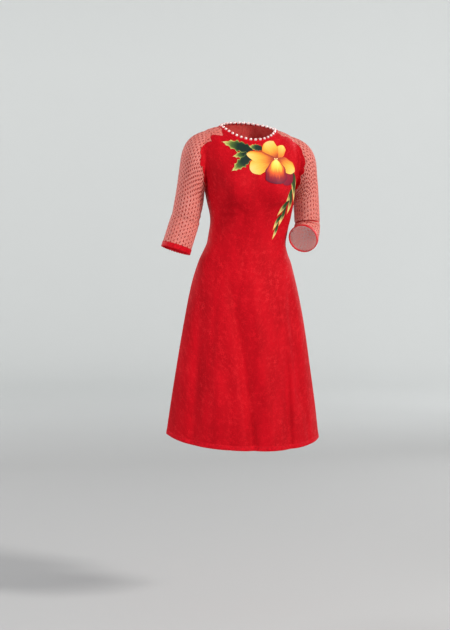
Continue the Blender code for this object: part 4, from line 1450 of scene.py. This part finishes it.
def sleeve_dots(name, grid, normals, material):
    """Dots in staggered columns up a sleeve, side by side from the line down its outer side."""
    rows, columns = grid.shape[:2]
    shares = np.linspace(0, 1, 4 * columns + 1)
    levels = np.arange(rows, dtype=float)
    around = [path_run(on_grid(grid, np.full(shares.shape, level), shares)) for level in levels]
    half = np.array([run[-1] / 2 for run in around])
    reach = int(half.max() / DOT_COLUMN)
    dots = []
    for number in range(-reach, reach + 1):
        aside = number * DOT_COLUMN
        kept = np.clip(aside, DOT_MARGIN - half, half - DOT_MARGIN)
        share = np.array([np.interp(mid + k, run, shares) for mid, k, run in zip(half, kept, around)])
        path = on_grid(grid, levels, share)[::-1]
        run = path_run(path)
        at = dot_places(number, run)
        at = at[np.interp(at, run, (kept == aside)[::-1]) > 0.99]
        centres = along_path(path, run, at)
        out = along_path(on_grid(normals, levels, share)[::-1], run, at)
        dots.append((centres, centres - along_path(path, run, at + DOT_ONWARD), out))
    centres, lengthways, out = joined(dots)
    return domes(name, centres, unit(lengthways), unit(out), *DOT, material)


# ---- the neckline ----
def body_edge(angle):
    """A point on the neckline, moved and tilted as the rest of the body is."""
    points = neck_point(angle)
    x = points[..., 0]
    return stack(x + smooth(CENTRE, "x", points[..., 2]), points[..., 1], points[..., 2] - TILT * x)


def even_neck_angles(shares):
    """Angles around the neckline that are evenly spaced along it."""
    fine = np.linspace(0, 2 * math.pi, NECK_SAMPLES)
    wrapped = np.where(fine > math.pi, fine - 2 * math.pi, fine)
    run = path_run(body_edge(wrapped))
    angle = np.interp(shares, run / run[-1], fine)
    return np.where(angle > math.pi, angle - 2 * math.pi, angle)


def neck_frame(count, offset=0.0):
    """Places around the neckline: the edge, the way up from the cloth, around and out of it."""
    angle = even_neck_angles((np.arange(count) + offset) / count)
    edge = body_edge(angle)
    away = -unit(leaving_neck(angle))
    around = unit(np.roll(edge, -1, axis=0) - np.roll(edge, 1, axis=0))
    out = unit(np.cross(around, away))
    return edge, away, around, out


def neck_binding(material):
    """The rolled edge of the neckline."""
    edge, away, around, out = neck_frame(PEARL_COUNT * 8)
    path = edge - away * NECK_BINDING_DROP
    return strip("neck_binding", path, away, out, *NECK_BINDING, material, closed=True)


def pearls(material):
    """One string of round pearls that stands on the neckline's edge."""
    edge, away, around, out = neck_frame(PEARL_COUNT, 0.5)
    centres = edge + away * (PEARL_RADIUS + PEARL_CLEARANCE)
    points = []
    faces = []
    for centre in centres:
        first = len(points)
        for ring in range(1, PEARL_RINGS):
            tip = math.pi * ring / PEARL_RINGS
            for s in range(PEARL_SIDES):
                turn = 2 * math.pi * s / PEARL_SIDES
                way = (math.sin(tip) * math.cos(turn), math.sin(tip) * math.sin(turn), math.cos(tip))
                points.append(centre + PEARL_RADIUS * np.array(way))
        top = len(points)
        points.append(centre + np.array([0, 0, PEARL_RADIUS]))
        points.append(centre - np.array([0, 0, PEARL_RADIUS]))
        faces += [face[::-1] for face in ring_faces(first, PEARL_SIDES, PEARL_RINGS - 1)]
        faces += cap_faces(first, PEARL_SIDES, top)
        faces += [face[::-1] for face in cap_faces(top - PEARL_SIDES, PEARL_SIDES, top + 1)]
    return add_mesh("pearls", np.array(points), faces, None, material, sharp=80)


def picots(material):
    """Small pointed loops of dark red thread between the pearls."""
    edge, away, around, out = neck_frame(PEARL_COUNT)
    points = []
    faces = []
    sides = len(PICOT_RING)
    for base, up, along, front in zip(edge, away, around, out):
        first = len(points)
        for rise, width in PICOT_PROFILE:
            centre = base + up * (rise * PICOT_HEIGHT - PICOT_SINK)
            thick = PICOT_THICK * (0.4 + width)
            for a, f in PICOT_RING:
                points.append(centre + along * a * width * PICOT_HALF + front * f * thick)
        faces += ring_faces(first, sides, len(PICOT_PROFILE))
        faces.append(tuple(range(first, first + sides))[::-1])
        faces.append(tuple(range(len(points) - sides, len(points))))
    return add_mesh("picots", np.array(points), faces, None, material)


def pearl_cord(material):
    """The thread that the pearls are strung on."""
    edge, away, around, out = neck_frame(PEARL_COUNT * 6)
    path = edge + away * (PEARL_RADIUS + PEARL_CLEARANCE)
    return strip("pearl_cord", path, away, out, *PEARL_CORD, material, closed=True, sides=6)


# ---- materials ----
def node(tree, kind, inputs=None, **settings):
    """Adds a shader node; an input is a number, a colour or another node's socket."""
    made = tree.nodes.new(kind)
    for key, value in settings.items():
        setattr(made, key, value)
    for key, value in (inputs or {}).items():
        if isinstance(value, bpy.types.NodeSocket):
            tree.links.new(value, made.inputs[key])
        else:
            made.inputs[key].default_value = value
    return made


def calc(tree, operation, a, b=0.0, clamp=False):
    return node(tree, "ShaderNodeMath", {0: a, 1: b}, operation=operation, use_clamp=clamp).outputs[0]


def plus(tree, a, b):
    return calc(tree, "ADD", a, b)


def times(tree, a, b, clamp=False):
    return calc(tree, "MULTIPLY", a, b, clamp)


def mix(tree, factor, a, b):
    """From one colour to another; each is a socket or three numbers."""
    a, b = (end if isinstance(end, bpy.types.NodeSocket) else (*end, 1) for end in (a, b))
    return node(tree, "ShaderNodeMix", {0: factor, 6: a, 7: b}, data_type="RGBA").outputs[2]


def vector_math(tree, operation, a, b=None, scale=None, output=0):
    given = {0: a, 1: b, "Scale": scale}
    inputs = {key: value for key, value in given.items() if value is not None}
    return node(tree, "ShaderNodeVectorMath", inputs, operation=operation).outputs[output]


def spread(tree, value, low, high, to_low=0.0, to_high=1.0):
    inputs = {0: value, 1: low, 2: high, 3: to_low, 4: to_high}
    return node(tree, "ShaderNodeMapRange", inputs, interpolation_type="SMOOTHSTEP").outputs[0]


def noise(tree, vector, scale, detail=2.0, roughness=0.5):
    inputs = {"Vector": vector, "Scale": scale, "Detail": detail, "Roughness": roughness}
    return node(tree, "ShaderNodeTexNoise", inputs).outputs["Fac"]


def stretched(tree, vector, x, y):
    return node(tree, "ShaderNodeMapping", {"Vector": vector, "Scale": (x, y, 1.0)}).outputs[0]


def cloth_place(tree):
    return node(tree, "ShaderNodeUVMap", uv_map="cloth").outputs[0]


def object_place(tree):
    return node(tree, "ShaderNodeTexCoord").outputs["Object"]


def mark(tree, name):
    """A number that the mesh keeps for its material."""
    return node(tree, "ShaderNodeAttribute", attribute_name=name).outputs["Fac"]


def start_material(name, roughness, specular=0.35, gloss=(1, 1, 1), sheen=0.0, sheen_tint=(1, 1, 1)):
    material = bpy.data.materials.new(name)
    material.use_nodes = True
    tree = material.node_tree
    shader = tree.nodes["Principled BSDF"]
    shader.inputs["Roughness"].default_value = roughness
    shader.inputs["Specular IOR Level"].default_value = specular
    shader.inputs["Specular Tint"].default_value = (*gloss, 1.0)
    shader.inputs["Sheen Weight"].default_value = sheen
    shader.inputs["Sheen Tint"].default_value = (*sheen_tint, 1.0)
    shader.inputs["Sheen Roughness"].default_value = 0.4
    return material, tree, shader


def set_colour(tree, shader, colour):
    tree.links.new(colour, shader.inputs["Base Color"])


def set_bump(tree, shader, height, distance, strength=1.0):
    inputs = {"Height": height, "Distance": distance, "Strength": strength}
    bump = node(tree, "ShaderNodeBump", inputs)
    tree.links.new(bump.outputs[0], shader.inputs["Normal"])


def rosettes(tree, place, scale, petals, size):
    """A soft mask of small scattered flowers, each with a ring of petals."""
    inputs = {"Vector": place, "Scale": scale, "Randomness": 0.75}
    cells = node(tree, "ShaderNodeTexVoronoi", inputs, voronoi_dimensions="2D")
    apart = vector_math(tree, "SUBTRACT", place, cells.outputs["Position"])
    parts = node(tree, "ShaderNodeSeparateXYZ", {0: apart})
    turn = calc(tree, "ARCTAN2", parts.outputs[1], parts.outputs[0])
    away = vector_math(tree, "LENGTH", apart, output="Value")
    tint = node(tree, "ShaderNodeSeparateColor", {0: cells.outputs["Color"]})
    spin = times(tree, tint.outputs[0], 2 * math.pi)
    wave = calc(tree, "COSINE", plus(tree, times(tree, turn, float(petals)), spin))
    edge = times(tree, plus(tree, times(tree, wave, 0.28), 0.72), size)
    return spread(tree, calc(tree, "SUBTRACT", edge, away), -0.0006, 0.0012)


def lace_material(name, dark, body, bright):
    """Opaque figured lace: close flowers and sprigs in low relief, with a velvety surface and painted
    highlights.
    """
    material, tree, shader = start_material(name, 0.62, 0.35, LACE_GLOSS, 0.12, (1.0, 0.05, 0.05))
    place = cloth_place(tree)
    wander = node(tree, "ShaderNodeTexNoise", {"Vector": place, "Scale": 45.0, "Detail": 2.0})
    push = vector_math(tree, "SCALE", wander.outputs["Color"], scale=0.010)
    bent = vector_math(tree, "ADD", place, push)
    flowers = rosettes(tree, bent, 42.0, 5, 0.0085)
    sprigs = times(tree, rosettes(tree, bent, 95.0, 4, 0.0040), 0.7)
    vine = calc(tree, "ABSOLUTE", calc(tree, "SUBTRACT", noise(tree, place, 75.0, 1.0), 0.5))
    stems = times(tree, spread(tree, vine, 0.035, 0.012), 0.55)
    motif = calc(tree, "MAXIMUM", flowers, calc(tree, "MAXIMUM", sprigs, stems))
    blotch = spread(tree, noise(tree, stretched(tree, place, 22.0, 9.0), 1.0, 2.0), 0.30, 0.72)
    streak = spread(tree, noise(tree, stretched(tree, place, 700.0, 90.0), 1.0, 2.0), 0.52, 0.74)
    ground = mix(tree, plus(tree, times(tree, blotch, 0.42), 0.15), dark, body)
    colour = mix(tree, times(tree, motif, 0.60), ground, body)
    # Painted highlight: in random patches, the motifs and fine streaks are lightened towards the highlight
    # colour.
    highlight_patches = spread(tree, noise(tree, place, 9.0, 2.0, 0.6), 0.42, 0.66, 0.15, 0.85)
    raised = plus(tree, times(tree, motif, 0.24), times(tree, streak, 0.20))
    colour = mix(tree, times(tree, highlight_patches, raised, clamp=True), colour, bright)
    grain = times(tree, spread(tree, noise(tree, place, 1500.0, 1.0), 0.35, 0.7), 0.22)
    colour = mix(tree, grain, colour, dark)
    wrong_side = mix(tree, times(tree, motif, 0.5), LACE_UNDER, body)
    set_colour(tree, shader, mix(tree, mark(tree, "under"), colour, wrong_side))
    tree.links.new(spread(tree, motif, 0.0, 1.0, 0.70, 0.46), shader.inputs["Roughness"])
    set_bump(tree, shader, plus(tree, motif, grain), 0.00035, 0.9)
    return material


def net_material(name, colour):
    """Sheer net: a fine mesh of threads with the holes between them open."""
    material, tree, shader = start_material(name, 0.6, 0.15, LACE_GLOSS, 0.1, (1.0, 0.1, 0.1))
    place = cloth_place(tree)
    inputs = {"Vector": place, "Scale": 1 / NET_PITCH, "Randomness": 0.12}
    cells = node(tree, "ShaderNodeTexVoronoi", inputs, voronoi_dimensions="2D", feature="DISTANCE_TO_EDGE")
    thread = spread(tree, cells.outputs["Distance"], 0.10, 0.04)
    uneven = spread(tree, noise(tree, place, 16.0, 2.0), 0.3, 0.7, 0.93, 1.07)
    bunch_and_shade = mark(tree, "bunch_and_shade")
    haze = plus(tree, times(tree, bunch_and_shade, BUNCH_COVER), NET_HAZE)
    cover = plus(tree, times(tree, thread, NET_THREAD_COVER), haze)
    tree.links.new(times(tree, cover, uneven, clamp=True), shader.inputs["Alpha"])
    dull = tuple(part * 0.7 for part in colour)
    grain = spread(tree, noise(tree, place, 700.0, 1.0), 0.3, 0.7)
    # Where the net is bunched in creases its colour goes to a deep red: the denser net, with painted shade
    # in the creases.
    set_colour(tree, shader, mix(tree, bunch_and_shade, mix(tree, grain, colour, dull), BUNCHED_RED_AND_SHADE))
    return material


def thread_material(name, colour, bright, twist=900.0):
    """Close thread, as in a binding, a seam or an embroidered dot."""
    material, tree, shader = start_material(name, 0.6, 0.25, LACE_GLOSS, 0.1, (1.0, 0.2, 0.2))
    fibre = noise(tree, object_place(tree), twist, 2.0)
    face = mix(tree, spread(tree, fibre, 0.35, 0.7), colour, bright)
    set_colour(tree, shader, mix(tree, mark(tree, "under"), face, DOT_UNDER))
    set_bump(tree, shader, fibre, 0.00015, 0.8)
    return material


def band_material(name, dark, bright):
    """The cuffs and the hem: the cloth's firm bright edge, closely woven across its length."""
    material, tree, shader = start_material(name, 0.55, 0.35, LACE_GLOSS, 0.1, (1.0, 0.1, 0.1))
    place = cloth_place(tree)
    across = node(tree, "ShaderNodeSeparateXYZ", {0: place}).outputs[0]
    ribs = calc(tree, "SINE", times(tree, across, 2 * math.pi / RIB_PITCH))
    wear = noise(tree, place, 160.0, 3.0)
    shade = plus(tree, times(tree, ribs, 0.12), wear)
    set_colour(tree, shader, mix(tree, spread(tree, shade, 0.3, 0.75), dark, bright))
    set_bump(tree, shader, plus(tree, ribs, wear), 0.00012, 0.7)
    return material


def print_material(name, *stops):
    """Printed and embroidered cloth, coloured from the base of each petal to its tip, with veins."""
    material, tree, shader = start_material(name, 0.6, 0.2)
    parts = node(tree, "ShaderNodeSeparateXYZ", {0: cloth_place(tree)})
    ends = {0: times(tree, parts.outputs[0], 2.0), 1: times(tree, parts.outputs[1], 9.0)}
    lines = node(tree, "ShaderNodeCombineXYZ", ends).outputs[0]
    vein = noise(tree, lines, 1.6, 3.0, 0.6)
    shift = times(tree, calc(tree, "SUBTRACT", vein, 0.5), 0.42)
    ramp = node(tree, "ShaderNodeValToRGB", {0: plus(tree, parts.outputs[0], shift)})
    places = ramp.color_ramp.elements
    for number, (at, colour) in enumerate(stops):
        stop = places[number] if number < 2 else places.new(at)
        stop.position = at
        stop.color = (*colour, 1.0)
    set_colour(tree, shader, ramp.outputs[0])
    stitch = noise(tree, stretched(tree, lines, 4.0, 14.0), 3.0, 2.0)
    set_bump(tree, shader, plus(tree, vein, stitch), 0.0002, 0.5)
    return material


def flower_materials():
    return {name: print_material(name, *stops) for name, stops in PRINT_COLOURS.items()}


def pearl_material():
    material, tree, shader = start_material("pearl", 0.2, 0.6)
    place = object_place(tree)
    cloud = spread(tree, noise(tree, place, 160.0, 2.0), 0.3, 0.7)
    set_colour(tree, shader, mix(tree, cloud, PEARL_ROSE, PEARL_PALE))
    set_bump(tree, shader, noise(tree, place, 900.0, 1.0), 0.00004, 0.4)
    shader.inputs["Coat Weight"].default_value = 0.6
    shader.inputs["Coat Roughness"].default_value = 0.08
    shader.inputs["Subsurface Weight"].default_value = 0.15
    shader.inputs["Subsurface Radius"].default_value = (0.002, 0.001, 0.001)
    return material


def floor_material():
    """A matt floor with painted shade: darker near the middle, where the lamps fall brightest, and paler
    towards the wall.
    """
    material, tree, shader = start_material("floor", 0.9, 0.1)
    place = object_place(tree)
    away = vector_math(tree, "LENGTH", place, output="Value")
    cloud = times(tree, noise(tree, place, 0.7, 2.0), 0.4)
    tone = spread(tree, plus(tree, away, cloud), 2.0, 8.5)
    set_colour(tree, shader, mix(tree, tone, FLOOR_PAINTED_SHADE_NEAR, FLOOR_FAR))
    return material


# ---- stage, light and camera ----
def backdrop():
    """A pale floor that curves up into a wall on all sides, open above."""
    profile = [(radius, 0.0) for radius in FLOOR_RADII]
    flat = FLOOR_RADII[-1]
    for step in range(1, FLOOR_CURVE_STEPS + 1):
        turn = math.pi / 2 * step / FLOOR_CURVE_STEPS
        profile.append((flat + FLOOR_CURVE * math.sin(turn), FLOOR_CURVE * (1 - math.cos(turn))))
    profile.append((flat + FLOOR_CURVE, WALL_HEIGHT))
    points = []
    for radius, rise in profile:
        for s in range(FLOOR_SIDES):
            turn = 2 * math.pi * s / FLOOR_SIDES
            points.append((radius * math.cos(turn), radius * math.sin(turn), FLOOR_Z + rise))
    faces = cap_faces(0, FLOOR_SIDES, len(points))
    faces += [face[::-1] for face in ring_faces(0, FLOOR_SIDES, len(profile))]
    points.append((0.0, 0.0, FLOOR_Z))
    mesh = bpy.data.meshes.new("floor")
    mesh.from_pydata(points, [], faces)
    mesh.shade_smooth()
    mesh.materials.append(floor_material())
    floor = bpy.data.objects.new("floor", mesh)
    bpy.context.scene.collection.objects.link(floor)


def area_light(name, place, target, size, watts, colour):
    data = bpy.data.lights.new(name, "AREA")
    data.shape = "DISK"
    data.size = size
    data.energy = watts
    data.color = colour
    lamp = bpy.data.objects.new(name, data)
    lamp.location = place
    lamp.rotation_euler = (Vector(target) - Vector(place)).to_track_quat("-Z", "Y").to_euler()
    lamp.visible_camera = False
    bpy.context.scene.collection.objects.link(lamp)


def lights():
    for name, settings in LIGHTS.items():
        area_light(name, *settings)
    world = bpy.data.worlds.new("studio")
    bpy.context.scene.world = world
    world.use_nodes = True
    sky = world.node_tree.nodes["Background"]
    sky.inputs["Color"].default_value = SKY_COLOUR
    sky.inputs["Strength"].default_value = SKY_STRENGTH
    bpy.context.scene.view_settings.view_transform = "Standard"


def camera():
    toward = Vector((math.sin(CAMERA_AZIMUTH), -math.cos(CAMERA_AZIMUTH), 0.0))
    right = Vector((math.cos(CAMERA_AZIMUTH), math.sin(CAMERA_AZIMUTH), 0.0))
    data = bpy.data.cameras.new("camera")
    data.sensor_fit = "VERTICAL"
    data.angle_y = 2 * math.atan(PHOTO_SIZE[1] / 2 / FOCAL_PIXELS)
    eye = bpy.data.objects.new("camera", data)
    eye.location = toward * CAMERA_AWAY + Vector((0.0, 0.0, CAMERA_RISE)) + right * CAMERA_RIGHT
    look = -toward * math.cos(CAMERA_PITCH) - Vector((0.0, 0.0, math.sin(CAMERA_PITCH)))
    eye.rotation_euler = look.to_track_quat("-Z", "Y").to_euler()
    bpy.context.scene.collection.objects.link(eye)
    bpy.context.scene.camera = eye


# ---- the garment, dressed piece by piece ----
def make_materials():
    return {
        "lace": lace_material("red_lace", LACE_DARK, LACE_BODY, LACE_PAINTED_HIGHLIGHT),
        "net": net_material("red_net", NET_COLOUR),
        "band": band_material("red_cuff", BAND_DARK, BAND_BRIGHT),
        "dark_thread": thread_material("dark_thread", *DARK_THREAD),
        "red_thread": thread_material("red_thread", *RED_THREAD),
        "flock": thread_material("flock", *FLOCK, FLOCK_FIBRE),
        "pearl": pearl_material(),
    }


def dress(piece, solid=None):
    """Hides, where a piece has one, the solid that it stands for, and returns the piece."""
    if solid:
        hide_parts(solid)
    return piece


def dress_yoke(name, finish):
    """The net over one shoulder."""
    points, normals = yoke_net_grid(name)
    cloth = shell("yoke_net_" + name, points, points - normals * NET_THICK, finish["net"])
    dress(cloth, "yoke_" + name)
    inside = round(YOKE_COLUMNS * YOKE_UNDER / (1 + 2 * YOKE_UNDER)) + 1
    picked = range(inside, YOKE_COLUMNS + 1 - inside, YOKE_DOT_COLUMNS)
    dots = dress(yoke_dots("yoke_dots_" + name, points, normals, picked, finish["flock"]))
    return cloth


def dress_sleeve(name, finish):
    """One sleeve with its dots, joins, cuff and lace lap."""
    grid, frame = sleeve_grid(name)
    normals = grid_normals(grid, True)
    settle = NET_UNDER * (1 - ease(np.arange(len(grid)) / SETTLE_ROWS))
    grid = grid - normals * settle[:, None, None]
    cloth = sleeve_net(name, grid, normals, frame["bunch_and_shade"], finish["net"])
    dress(cloth, "sleeve_" + name)
    dots = dress(sleeve_dots("sleeve_dots_" + name, grid, normals, finish["flock"]))
    armhole = dress(armhole_join(name, grid, normals, finish["dark_thread"]))
    underarm = dress(underarm_join(name, grid, normals, finish["red_thread"]))
    cuff = dress(cuff_band(name, frame, finish["band"]), "cuff_" + name)
    join = dress(cuff_line(name, frame, finish["dark_thread"]))
    loops = dress(cuff_scallops(name, frame, finish["red_thread"]))
    lap = dress(lace_lap(name, grid, normals, finish["lace"]), "lace_lap_" + name)


def dress_back(name, finish):
    """One half of the back with its hem."""
    hem = hem_line(BACK, ARMS[name]["side"])
    cloth = dress(back_cloth(name, hem, finish["lace"]), "back_" + name)
    band = dress(hem_band("back_hem_" + name, hem, finish["band"]))
    sewn = dress(hem_stitches("back_stitches_" + name, hem, finish["dark_thread"]))


def dress_front(finish):
    """The front with its hem and the printed flower."""
    hem = hem_line(FRONT)
    cloth = dress(front_cloth(hem, finish["lace"]), "front_panel")
    band = dress(hem_band("front_hem", hem, finish["band"]))
    sewn = dress(hem_stitches("front_stitches", hem, finish["dark_thread"]))
    prints = [dress(piece) for piece in flower(cloth, flower_materials())]


def dress_neck(finish):
    """The pearls and their thread, the picots between them and the neckline's binding."""
    dress(pearls(finish["pearl"]), "pearl_trim")
    dress(pearl_cord(finish["red_thread"]))
    dress(picots(finish["red_thread"]))
    dress(neck_binding(finish["red_thread"]))


def main():
    for thing in list(bpy.data.objects):
        bpy.data.objects.remove(thing, do_unlink=True)
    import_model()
    finish = make_materials()
    for name in ARMS:
        dress_back(name, finish)
        dress_yoke(name, finish)
        dress_sleeve(name, finish)
    dress_front(finish)
    dress_neck(finish)
    backdrop()
    lights()
    camera()


main()
